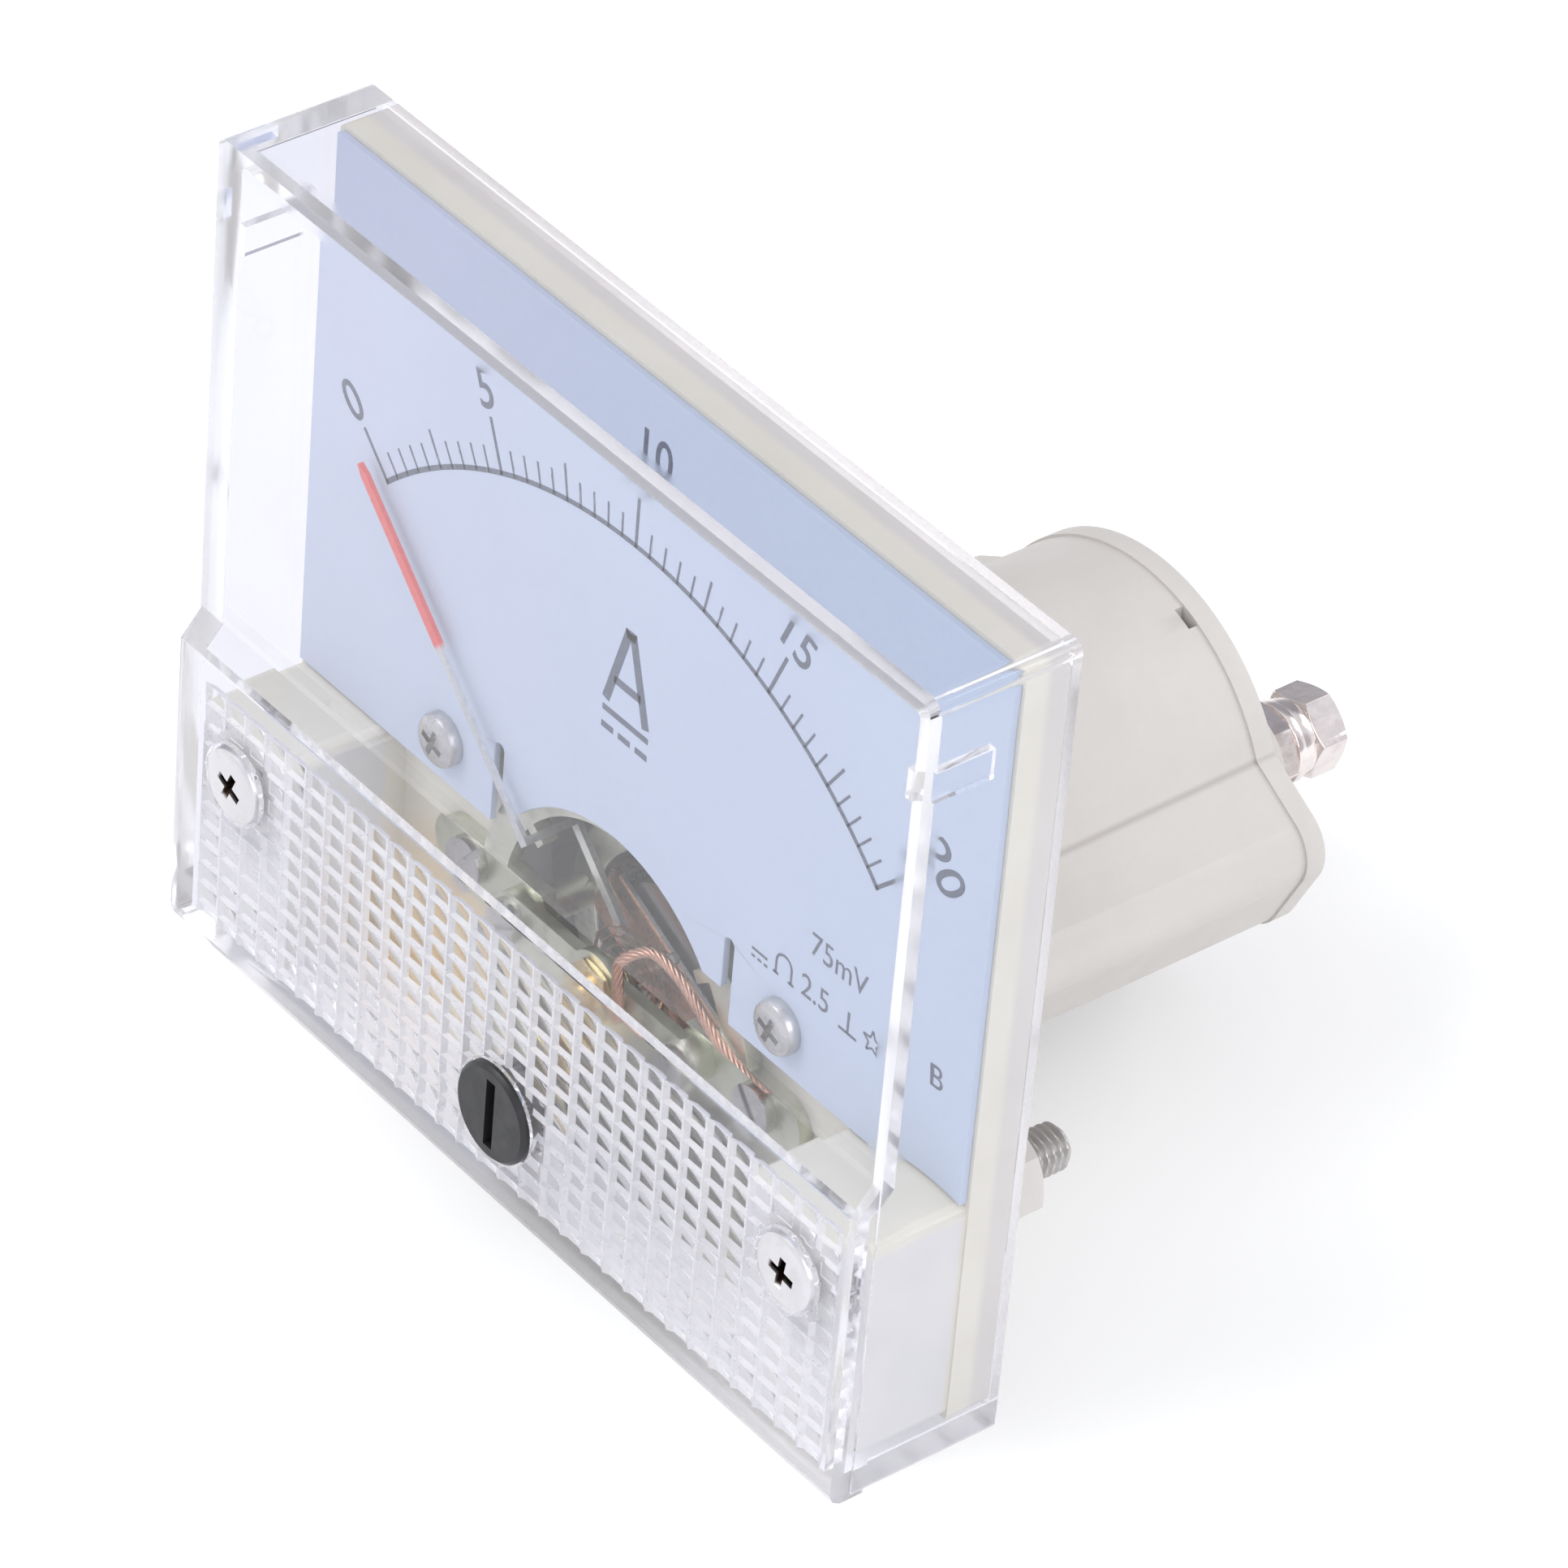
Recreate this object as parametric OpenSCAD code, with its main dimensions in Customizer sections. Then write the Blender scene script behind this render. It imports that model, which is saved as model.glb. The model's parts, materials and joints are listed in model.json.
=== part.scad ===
// Moving-coil panel meter with a clear front, a fan scale and a rear body
// that carries two screw terminals.
//
// Frame: +X to the right seen from the front, +Y towards the rear, +Z up.
// Origin: midway between the two mounting screws, on the back face of the
// flange, which is the face that meets the panel. All sizes in millimetres.

/* [Front cover] */
// Width of the front cover
front_w = 64; // [62:0.5:68]
// Height of the front cover
front_h = 56; // [54:0.5:60]
// Height of the mounting screws above the lower edge of the cover
screw_rise = 13.6; // [13:0.1:14]
// Depth of the cover from the panel face to the window
window_d = 10.5; // [10.2:0.1:11.5]
// How far the lower panel stands out in front of the window
lower_proud = 1.45; // [1.2:0.05:1.8]
// Height of the top of the lower panel above the screws
lower_top = 7.5; // [7:0.1:8]
// Wall thickness of the cover
cover_wall = 1.5; // [1.2:0.1:1.6]
// Corner radius of the cover
cover_corner = 0.7; // [0.4:0.1:1]

/* [Mounting screws] */
// Distance between the two mounting screws
screw_gap = 52.5; // [51:0.1:53]
// Radius of the M3 screw shank
screw_r = 1.5; // [1.4:0.05:1.5]
// How far the screws stand out behind the panel face
screw_out = 8; // [7:0.5:12]

/* [Rear body] */
// Radius of the rear body at its far end
body_r = 12.65; // [12.5:0.05:12.8]
// Radius of the rear body at the flange
body_root_r = 12.95; // [12.85:0.05:12.95]
// Height of the axis of the rear body above the screws
body_z = 1; // [0.9:0.05:1.1]
// Depth of the rear body behind the panel face, with its cap
body_d = 36.2; // [35:0.1:40]
// Thickness of the rear cap
cap_t = 1.4; // [1.2:0.1:2]
// Wall thickness of the rear body
body_wall = 1.25; // [1.1:0.05:1.3]

/* [Terminals] */
// Distance of each terminal from the middle
term_x = 7; // [6.6:0.1:7]
// Height of the terminals above the mounting screws
term_z = 2.5; // [2:0.1:2.6]
// Radius of the terminal thread
term_r = 1.5; // [1.3:0.05:1.5]
// Width across the flats of the terminal nuts
term_af = 5; // [5:0.1:5.5]

/* [Dial] */
// Half width of the dial plate
dial_x = 30; // [29:0.1:30.1]
// Height of the upper edge of the dial plate
dial_top = 40.4; // [39:0.1:40.5]
// Height of the lower edge of the dial plate
dial_low = 4.1; // [4:0.1:4.5]
// Radius of the arch in the dial plate
arch_r = 11.2; // [11:0.1:11.5]

/* [Movement] */
// Height of the pivot axis above the mounting screws
pivot_z = -1; // [-1.1:0.05:-0.9]
// Angle of the resting pointer from straight up, to the left
rest_a = 46; // [45:0.5:48]
// Radius of the pointer tip
tip_r = 33.5; // [30:0.5:34]
// Radius at which the pointer bends back behind the dial
bend_r = 9.6; // [9.5:0.05:9.65]
// Outer radius of the soft iron ring
yoke_r = 9.2; // [9:0.05:9.2]
// Radius of the magnet core
core_r = 4.8; // [4.6:0.05:4.8]
// Direction of the coil, downwards from the right
coil_a = 25; // [23:0.5:27]

/* [Zero setting] */
// Radius of the head of the zero adjuster
adj_r = 3.25; // [3:0.05:3.3]
// Height of the zero adjuster relative to the mounting screws
adj_z = -6.8; // [-7:0.05:-6.7]
// Offset of the eccentric pin
pin_off = 1.2; // [1.1:0.05:1.3]

/* [Hidden] */

$fn = 48;
e = 0.01;
bot = -screw_rise;                  // lower edge of the cover
top = front_h - screw_rise;         // upper edge of the cover
mid = (top + bot) / 2;
wy = -window_d;                     // front of the window
ly = -window_d - lower_proud;       // front of the lower panel
sx = screw_gap / 2;
base_f = -3.1;                      // front face of the base
floor_f = -1.8;                     // front of the floor of the base
post_f = -9.8;                      // front of the corner posts
dial_t = 0.5;
dial_f = base_f - dial_t;
cap_y = body_d - cap_t;
head_y = ly + 1.3;                  // seat of the case screw heads
shank_r = screw_r - 0.17;           // rolled shank, thinner than the thread

yo_f = 1.2;                         // front of the iron ring
yo_b = 11.8;                        // back of the iron ring
br_x = 7.95;                        // bridge pillars
br_f = -4.4;                        // front of the front bridge
rb_f = 15.8;                        // front of the rear bridge
arm_f = -0.9;                       // front of the pointer arm
arm_b = -0.5;
ptr_f = -4.6;                       // front of the pointer blade
ptr_b = -4.3;

// ---- helpers -------------------------------------------------------------
// Round bar along Y from y0 to y1, centred on x, z
module ybar(r, y0, y1, x = 0, z = 0, fn = 48)
  translate([x, y0, z]) rotate([-90, 0, 0]) cylinder(r = r, h = y1 - y0, $fn = fn);

// Cone along Y
module ycone(r0, r1, y0, y1, x = 0, z = 0, fn = 48)
  translate([x, y0, z]) rotate([-90, 0, 0]) cylinder(r1 = r0, r2 = r1, h = y1 - y0, $fn = fn);

// Flat outline drawn in X and Z, given a thickness from y0 to y1
module slab(y0, y1) translate([0, y1, 0]) rotate([90, 0, 0]) linear_extrude(height = y1 - y0) children();

// Rectangle with rounded corners
module rrect(w, h, r) {
  square([w - 2 * r, h], center = true);
  square([w, h - 2 * r], center = true);
  for (i = [-1, 1], j = [-1, 1]) translate([i * (w / 2 - r), j * (h / 2 - r)]) circle(r = r, $fn = 24);
}

// Box from corner to corner
module box(a, b) translate(a) cube(b - a);

// Hexagon nut along Y with both rims chamfered
module hex_nut(af, bore, y0, y1, x, z, turn = 0) {
  ac = af / cos(30) / 2;
  c = (ac - af / 2) * 0.62;
  difference() {
    intersection() {
      translate([x, y0, z]) rotate([-90, turn, 0]) cylinder(r = ac, h = y1 - y0, $fn = 6);
      translate([x, y0, z]) rotate([-90, 0, 0])
        rotate_extrude($fn = 48) polygon([[0, 0], [af / 2 * 0.97, 0], [ac + e, c], [ac + e, y1 - y0 - c],
          [af / 2 * 0.97, y1 - y0], [0, y1 - y0]]);
    }
    ybar(bore, y0 - 1, y1 + 1, x, z, 32);
  }
}

// Domed screw head, its seat at y0, standing towards -Y, with a cross recess
module cross_head(r, h, y0, x, z, slot) {
  difference() {
    translate([x, y0, z]) rotate([90, 0, 0])
      rotate_extrude($fn = 48) polygon([[0, 0], [r, 0], [r, h * 0.45], [r * 0.93, h * 0.72],
        [r * 0.74, h * 0.93], [r * 0.5, h], [0, h]]);
    for (a = [0, 90]) translate([x, y0 - h, z]) rotate([0, a + 20, 0])
      cube([slot, h * 1.1, slot * 0.24], center = true);
  }
}

// Small cheese head with a single slot
module slot_head(r, h, y0, x, z, a = 30) {
  difference() {
    ybar(r, y0 - h, y0, x, z, 32);
    translate([x, y0 - h, z]) rotate([0, a, 0]) cube([2 * r + 1, h * 0.8, r * 0.28], center = true);
  }
}

// ---- outline of the rear body -------------------------------------------
ear_a = [14, body_z + 0.9];
ear_b = [12.2, body_z - 3];
// Side lobe of the rear body, drawn t inside its outer line
module lobe(t) {
  ra = 2.65 - t; rb = 2.6 - t;
  ta = ear_a + ra * [0.492, 0.871];
  tr = ear_a + ra * [0.908, -0.419];
  br = ear_b + rb * [0.908, -0.419];
  tb = ear_b + rb * [0.55, -0.835];
  polygon([[6, body_z - 1], [9, ta[1] + 0.565 * (ta[0] - 9)], ta, ear_a, tr, br, ear_b, tb,
    [9, tb[1] - 0.6587 * (tb[0] - 9)]]);
  translate(ear_a) circle(r = ra, $fn = 32);
  translate(ear_b) circle(r = rb, $fn = 32);
}
module lobes(t) { lobe(t); mirror([1, 0]) lobe(t); }

// ---- housing -------------------------------------------------------------
module base_housing() color([0.90, 0.88, 0.86]) {
  ri = body_r - body_wall; ro = body_root_r - body_wall;
  difference() {
    union() {
      // flange tray inside the cover
      difference() {
        translate([0, 0, mid]) slab(base_f, 0) rrect(front_w - 2 * cover_wall - 0.3, front_h - 2 * cover_wall - 0.3, 0.5);
        translate([0, 0, mid]) slab(base_f - 1, floor_f) rrect(front_w - 2 * cover_wall - 4.3, front_h - 2 * cover_wall - 4.3, 0.5);
      }
      // seats of the case screws and of the dial screws
      for (i = [-1, 1]) {
        ybar(3.9, base_f, floor_f + e, i * sx, 0);
        // corner post that backs the lower panel round the screw
        translate([i * 25.9, 0, -3.9]) slab(post_f, floor_f + e) rrect(8.6, 15.6, 0.8);
        ybar(2.6, base_f, floor_f + e, i * 15.8, 7.2);
        box([i > 0 ? 15.8 : -front_w / 2 + 2, base_f, 6.6], [i > 0 ? front_w / 2 - 2 : -15.8, floor_f + e, 7.8]);
      }
      // ribs under the dial plate
      for (z = [20, 32]) box([-front_w / 2 + 2, base_f, z], [front_w / 2 - 2, floor_f + e, z + 1.2]);
      // rear body
      ycone(body_root_r, body_r, 0 - e, cap_y, 0, body_z, 96);
      slab(-e, cap_y) lobes(0);
    }
    ycone(ro, ri, floor_f - 1, cap_y + 1, 0, body_z, 96);
    slab(1.5, cap_y + 1) lobes(body_wall);
    for (i = [-1, 1]) {
      ybar(screw_r + 0.2, post_f - 1, 1, i * sx, 0);
      ybar(0.8, base_f - 1, -0.3, i * 15.8, 7.2, 24);
      ybar(0.7, floor_f - 1, -0.1, i * 13.6, pivot_z, 24);
    }
    // snap notch at the rim behind the cap
    translate([3.8, cap_y - 0.65, body_z + 10]) cube([1.4, 0.8, 4]);
  }
}

module rear_cap() color([0.90, 0.88, 0.86]) difference() {
  union() {
    ybar(body_r + 0.15, cap_y, body_d, 0, body_z, 96);
    slab(cap_y, body_d) lobes(-0.15);
    ybar(body_r - body_wall - 0.15, cap_y - 1.4, cap_y + e, 0, body_z, 96);
    for (i = [-1, 1]) ybar(3.6, body_d - e, body_d + 2.2, i * term_x, term_z);
  }
  ybar(body_r - body_wall - 1.35, cap_y - 2, cap_y, 0, body_z, 96);
  for (i = [-1, 1]) ybar(term_r + 0.05, cap_y - 1, body_d + 3, i * term_x, term_z);
}

module front_cover() color([0.82, 0.84, 0.93, 0.45]) {
  t = cover_wall;
  difference() {
    union() {
      difference() {
        union() {
          translate([0, 0, mid]) slab(wy, 0) rrect(front_w, front_h, cover_corner);
          // lower panel with its sloping upper edge
          translate([-front_w / 2 + 0.15, 0, 0]) rotate([90, 0, 90]) linear_extrude(height = front_w - 0.3)
            polygon([[wy + 1, lower_top + 1.7], [wy, lower_top + 1.7], [ly, lower_top],
              [ly, bot + 0.9], [ly + 0.25, bot + 0.3], [ly + 0.8, bot], [wy + 1, bot]]);
        }
        // inside of the window and of the skirt
        translate([0, 0, mid]) slab(wy + t, 1) rrect(front_w - 2 * t, front_h - 2 * t, 0.4);
        // inside of the lower panel
        translate([-front_w / 2 + t, 0, 0]) rotate([90, 0, 90]) linear_extrude(height = front_w - 2 * t)
          polygon([[wy + t + 0.1, lower_top + 0.7], [wy + t, lower_top + 0.7], [ly + t, lower_top - 0.9],
            [ly + t, bot + t], [wy + t + 0.1, bot + t]]);
      }
      for (i = [-1, 1]) ybar(3.3, ly + 0.5, ly + t + 0.45, i * sx, 0);
      ybar(3.1, ly + 0.5, ly + t + 1.2, 0, adj_z);
      // locating lugs inside both side walls
      for (i = [-1, 1]) box([i > 0 ? front_w / 2 - t - 0.55 : -front_w / 2 + t - e, -9.4, 35],
          [i > 0 ? front_w / 2 - t + e : -front_w / 2 + t + 0.55, -4.9, 37]);
    }
    for (i = [-1, 1]) {
      ybar(screw_r + 0.2, ly - 1, base_f + 1, i * sx, 0);
      ybar(2.7, ly - 1, head_y, i * sx, 0);
    }
    ybar(2.1, ly - 1, ly + t + 3, 0, adj_z);
    ybar(adj_r + 0.2, ly - 1, ly + 0.55, 0, adj_z);
  }
}

module case_screws() color([0.80, 0.79, 0.77]) for (i = [-1, 1]) {
  cross_head(2.5, 1.6, head_y, i * sx, 0, 2.7);
  ybar(shank_r, head_y - e, 4.7, i * sx, 0);
  ybar(screw_r, 4.7 - e, screw_out - 0.4, i * sx, 0);
  ycone(screw_r, screw_r - 0.4, screw_out - 0.4, screw_out, i * sx, 0);
}

module mounting_washers() color([0.93, 0.92, 0.90]) for (i = [-1, 1]) difference() {
  ybar(3.5, 0, 1.5, i * sx, 0);
  ybar(screw_r + 0.1, -1, 3, i * sx, 0);
}

module mounting_nuts() color([0.93, 0.92, 0.90]) for (i = [-1, 1])
  hex_nut(5.6, shank_r + 0.02, 1.5, 4.6, i * sx, 0, 15);

// ---- dial ----------------------------------------------------------------
module dial_plate() color([0.80, 0.83, 0.92]) difference() {
  slab(dial_f, base_f) difference() {
    translate([-dial_x, dial_low]) square([2 * dial_x, dial_top - dial_low]);
    translate([0, pivot_z]) circle(r = arch_r, $fn = 96);
    translate([-10.3, dial_low - 1]) square([20.6, 3.1]);
    for (i = [-1, 1]) {
      translate([i * 10.75 - 0.45, dial_low - 1]) square([0.9, 6.45]);
      translate([i * 10.75, dial_low + 5.45]) circle(r = 0.45, $fn = 24);
    }
  }
  for (i = [-1, 1]) ybar(1.3, dial_f - 1, base_f + 1, i * 15.8, 7.2, 32);
}

module dial_screws() color([0.80, 0.80, 0.80]) for (i = [-1, 1]) {
  cross_head(1.75, 1.05, dial_f, i * 15.8, 7.2, 1.9);
  ybar(0.8, dial_f - e, -0.5, i * 15.8, 7.2, 24);
}

// ---- fixed parts of the movement ----------------------------------------
module movement_frame() color([0.62, 0.62, 0.63]) difference() {
  union() {
    slab(-2.9, floor_f) {
      intersection() {
        translate([0, pivot_z]) difference() { circle(r = 12.6, $fn = 96); circle(r = 10.4, $fn = 96); }
        translate([-16, pivot_z - 2]) square([32, 16]);
      }
      for (i = [0, 1]) mirror([i, 0]) {
        translate([6.85, pivot_z - 2]) square([8.4, 4]);
        translate([15.25, pivot_z]) circle(r = 2, $fn = 32);
      }
      // stops for the pointer
      for (a = [37.3, 143.2]) translate([0, pivot_z]) rotate(a) translate([9.1, -0.4]) square([1.6, 0.8]);
    }
    for (i = [-1, 1]) ybar(1.1, floor_f - e, yo_f, i * br_x, pivot_z, 32);
  }
  for (i = [-1, 1]) {
    ybar(0.72, -4, 3, i * br_x, pivot_z, 24);
    ybar(0.95, -4, 0, i * 13.6, pivot_z, 24);
  }
}

module movement_screws() color([0.75, 0.75, 0.75]) for (i = [-1, 1]) {
  slot_head(1.6, 0.8, -2.9, i * 13.6, pivot_z, 50 * i);
  ybar(0.7, -2.9 - e, -0.4, i * 13.6, pivot_z, 24);
}

module yoke_ring() color([0.48, 0.47, 0.46]) difference() {
  ybar(yoke_r, yo_f, yo_b, 0, pivot_z, 96);
  ybar(6.75, yo_f - 1, yo_b + 1, 0, pivot_z, 96);
  for (i = [-1, 1]) ybar(0.72, yo_f - 1, yo_b + 1, i * br_x, pivot_z, 24);
}

module core_magnet() color([0.70, 0.70, 0.71]) ybar(core_r, yo_f + 0.15, yo_b - 0.15, 0, pivot_z, 64);

module core_supports() color([0.80, 0.64, 0.36]) intersection() {
  difference() {
    ybar(6.75, 3, 10, 0, pivot_z, 96);
    ybar(core_r, 2, 11, 0, pivot_z, 64);
  }
  translate([0, 0, pivot_z]) rotate([0, -18.5, 0]) translate([0, 6.5, 0]) cube([20, 8, 2.6], center = true);
}

module front_bridge() color([0.78, 0.76, 0.70]) difference() {
  union() {
    slab(br_f, br_f + 0.8) {
      translate([-br_x, pivot_z - 1.6]) square([2 * br_x, 3.2]);
      translate([0, pivot_z]) circle(r = 2.4, $fn = 48);
      for (i = [-1, 1]) translate([i * br_x, pivot_z]) circle(r = 1.6, $fn = 32);
    }
    for (i = [-1, 1]) ybar(1.6, br_f + 0.8 - e, -2.9, i * br_x, pivot_z, 32);
  }
  ybar(1, br_f - 1, br_f + 2, 0, pivot_z, 32);
  for (i = [-1, 1]) ybar(0.72, br_f - 1, 0, i * br_x, pivot_z, 24);
}

module rear_bridge() color([0.78, 0.76, 0.70]) difference() {
  union() {
    slab(rb_f, rb_f + 0.8) {
      translate([-br_x, pivot_z - 1.6]) square([2 * br_x, 3.2]);
      translate([0, pivot_z]) circle(r = 2.4, $fn = 48);
      for (i = [-1, 1]) translate([i * br_x, pivot_z]) circle(r = 1.4, $fn = 32);
    }
    for (i = [-1, 1]) ybar(1.2, yo_b, rb_f + e, i * br_x, pivot_z, 32);
    // anchor of the rear hairspring
    ybar(0.25, 14, rb_f + e, 3.75 * cos(200), pivot_z + 3.75 * sin(200), 24);
  }
  ybar(1, rb_f - 1, rb_f + 2, 0, pivot_z, 32);
  for (i = [-1, 1]) ybar(0.72, yo_b - 1, rb_f + 2, i * br_x, pivot_z, 24);
}

module front_bridge_screws() color([0.82, 0.80, 0.76]) for (i = [-1, 1]) {
  slot_head(1.3, 0.7, br_f, i * br_x, pivot_z, 20 + 50 * i);
  ybar(0.7, br_f - e, 6, i * br_x, pivot_z, 24);
}

module rear_bridge_screws() color([0.82, 0.80, 0.76]) for (i = [-1, 1]) {
  translate([0, 2 * rb_f + 1.6, 0]) mirror([0, 1, 0]) {
    slot_head(1.3, 0.7, rb_f + 0.8, i * br_x, pivot_z, 20);
    ybar(0.7, rb_f + 0.8 - e, 2 * rb_f + 1.6 - 7, i * br_x, pivot_z, 24);
  }
}

// Jewel screw with its cup at y = y0, the rest standing towards -Y
module jewel_screw(len) difference() {
  ybar(1, -len, 0, 0, 0, 32);
  ycone(0.1, 0.6, -0.6, e, 0, 0, 24);
  translate([0, -len, 0]) cube([3, 0.9, 0.35], center = true);
}
module front_jewel_screw() color([0.86, 0.72, 0.42]) translate([0, -2.35, pivot_z]) jewel_screw(3.1);
module rear_jewel_screw() color([0.86, 0.72, 0.42]) translate([0, 15.05, pivot_z]) mirror([0, 1, 0]) jewel_screw(3.2);

module jewel_lock_nuts() color([0.82, 0.70, 0.42]) {
  hex_nut(3.6, 1.005, br_f - 0.6, br_f, 0, pivot_z, 10);
  hex_nut(3.6, 1.005, rb_f + 0.8, rb_f + 1.4, 0, pivot_z, 20);
}

// ---- zero setting --------------------------------------------------------
module zero_lever() color([0.84, 0.72, 0.45]) difference() {
  union() {
    slab(-3.3, -2.9) {
      translate([0, pivot_z]) circle(r = 2.1, $fn = 48);
      translate([-1, pivot_z - 3.8]) square([2, 3]);
      translate([0, pivot_z]) rotate(200) translate([1.5, -0.4]) square([2.5, 0.8]);
    }
    box([-1, -7.2, pivot_z - 3.8], [1, -2.9, pivot_z - 3.4]);
    slab(-7.2, -6.8) translate([-1.5, adj_z - pin_off - 1.6]) square([3, pivot_z - 3.4 - adj_z + pin_off + 1.6]);
    translate([0, 0, pivot_z]) rotate([0, -200, 0]) box([3.49, -2.9 - e, -0.4], [4, -1.4, 0.4]);
  }
  ybar(1.05, -4, -2, 0, pivot_z, 32);
  // slot for the eccentric pin
  box([-0.53, -8, adj_z - pin_off - 3], [0.53, -6, adj_z - pin_off + 1.5]);
}

module zero_adjuster() color([0.07, 0.07, 0.08]) difference() {
  union() {
    translate([0, ly + 0.5, adj_z]) rotate([90, 0, 0]) rotate_extrude($fn = 64)
      polygon([[0, 0], [adj_r, 0], [adj_r, 0.6], [adj_r - 0.25, 0.85], [0, 0.85]]);
    ybar(2.05, ly + 0.5 - e, ly + cover_wall + 1.25, 0, adj_z);
    ybar(2.35, ly + cover_wall + 1.25 - e, ly + cover_wall + 1.65, 0, adj_z);
    ybar(0.45, ly + cover_wall + 1.65 - e, -6.2, 0, adj_z - pin_off, 24);
  }
  box([-0.4, ly - 2, adj_z - 2.4], [0.4, ly + 0.3, adj_z + 2.4]);
}

// ---- springs -------------------------------------------------------------
// Flat spiral with n turns from r0 to r1, ending at angle a1
function spiral_r(t, r0, r1) = r0 + (r1 - r0) * t;
module spiral(r0, r1, n, a1, w) {
  k = 16 * n;
  polygon(concat(
    [for (i = [0:k]) let (t = i / k, a = a1 - 360 * n * (1 - t)) (spiral_r(t, r0, r1) + w / 2) * [cos(a), sin(a)]],
    [for (i = [k:-1:0]) let (t = i / k, a = a1 - 360 * n * (1 - t)) (spiral_r(t, r0, r1) - w / 2) * [cos(a), sin(a)]]));
}
module front_hairspring() color([0.80, 0.52, 0.40])
  slab(-1.75, -1.4) translate([0, pivot_z]) spiral(1, 3.42, 4, 200, 0.1);
module rear_hairspring() color([0.80, 0.52, 0.40])
  slab(14.05, 14.4) translate([0, pivot_z]) spiral(1, 3.42, 4, 200, 0.1);

// ---- moving element ------------------------------------------------------
// Rectangular frame around the core, out wide and inner wide in half widths
module loop(u1, u0, y0, y1, t, w) translate([0, 0, pivot_z]) rotate([0, coil_a, 0]) difference() {
  box([-u1, y0, -w], [u1, y1, w]);
  box([-u0, y0 + t, -w - 1], [u0, y1 - t, w + 1]);
}
module coil_former() color([0.85, 0.86, 0.87]) loop(5.45, 5.2, 0.75, 12.25, 0.25, 1.6);
module moving_coil() color([0.72, 0.38, 0.22]) loop(6.3, 5.45, -0.1, 13.1, 0.85, 1.5);

module front_staff() color([0.66, 0.67, 0.69]) {
  ybar(1.3, -0.4, -0.1, 0, pivot_z, 32);
  ybar(0.4, -2.3, -0.4 + e, 0, pivot_z, 24);
  ycone(0.06, 0.4, -2.75, -2.3 + e, 0, pivot_z, 24);
}
module rear_staff() color([0.66, 0.67, 0.69]) {
  ybar(1.3, 13.1, 13.4, 0, pivot_z, 32);
  ybar(0.4, 13.4 - e, 15, 0, pivot_z, 24);
  ycone(0.4, 0.06, 15 - e, 15.45, 0, pivot_z, 24);
}
module spring_collets() color([0.84, 0.72, 0.45]) {
  difference() { ybar(0.8, -1.9, -1.25, 0, pivot_z, 32); ybar(0.4, -3, 0, 0, pivot_z, 24); }
  difference() { ybar(0.8, 13.9, 14.55, 0, pivot_z, 32); ybar(0.4, 13, 16, 0, pivot_z, 24); }
}

module pointer() color([0.90, 0.45, 0.44]) difference() {
  union() {
    ybar(0.9, arm_f - 0.2, arm_b + 0.1, 0, pivot_z, 32);
    translate([0, 0, pivot_z]) rotate([0, -rest_a, 0]) {
      // arm, tail and cross arms behind the dial
      slab(arm_f, arm_b) {
        translate([-0.35, -6.4]) square([0.7, bend_r + 0.25 + 6.4]);
        translate([-4.3, -0.25]) square([8.6, 0.5]);
      }
      // riser through the arch, and the blade over the scale
      box([-0.35, ptr_f, bend_r - 0.25], [0.35, arm_b, bend_r + 0.25]);
      slab(ptr_f, ptr_b) polygon([[-0.35, bend_r - 0.25], [0.35, bend_r - 0.25], [0.35, bend_r + 0.25],
        [0.21, bend_r + 2.5], [0.21, 21], [0.35, 22], [0.32, tip_r - 0.8], [0.12, tip_r], [-0.12, tip_r],
        [-0.32, tip_r - 0.8], [-0.35, 22], [-0.21, 21], [-0.21, bend_r + 2.5], [-0.35, bend_r + 0.25]]);
    }
  }
  ybar(0.4, -3, 1, 0, pivot_z, 24);
}

// Small counterweights that slide on the tail and the cross arms
bal_r = 0.8;
module balance_weights() color([0.72, 0.72, 0.74]) translate([0, 0, pivot_z]) rotate([0, -rest_a, 0]) {
  difference() {
    translate([0, arm_f - 0.05, -6.35]) cylinder(r = bal_r, h = 2.2, $fn = 24);
    box([-0.35, arm_f, -7], [0.35, arm_b, 0]);
  }
  for (i = [-1, 1]) difference() {
    translate([i * 3.2, arm_f + 0.2, 0]) rotate([0, i * 90, 0]) cylinder(r = 0.4, h = 0.8, $fn = 24);
    box([-5, arm_f, -0.25], [5, arm_b, 0.25]);
  }
}

// ---- terminals -----------------------------------------------------------
t0 = body_d + 2.2;
module terminal_studs() color([0.80, 0.78, 0.76]) for (i = [-1, 1]) {
  ybar(2.6, cap_y - 1.3, cap_y, i * term_x, term_z, 32);
  ybar(term_r, cap_y - e, t0 + 6.2, i * term_x, term_z);
  ycone(term_r, term_r - 0.35, t0 + 6.2 - e, t0 + 6.6, i * term_x, term_z);
}
module terminal_lock_nuts() color([0.80, 0.78, 0.76]) for (i = [-1, 1])
  hex_nut(term_af, term_r + 0.02, t0, t0 + 2, i * term_x, term_z, 5);
module terminal_flat_washers() color([0.80, 0.78, 0.76]) for (i = [-1, 1]) difference() {
  ybar(2.65, t0 + 2, t0 + 2.6, i * term_x, term_z);
  ybar(term_r + 0.1, t0, t0 + 5, i * term_x, term_z);
}
module terminal_spring_washers() color([0.78, 0.77, 0.76]) for (i = [-1, 1]) difference() {
  ybar(2.5, t0 + 2.6, t0 + 3.5, i * term_x, term_z);
  ybar(term_r + 0.1, t0, t0 + 5, i * term_x, term_z);
  translate([i * term_x, t0 + 3, term_z]) rotate([0, 200, 0]) translate([2, 0, 0]) rotate([25, 0, 0]) cube([3, 3, 0.25], center = true);
}
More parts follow.
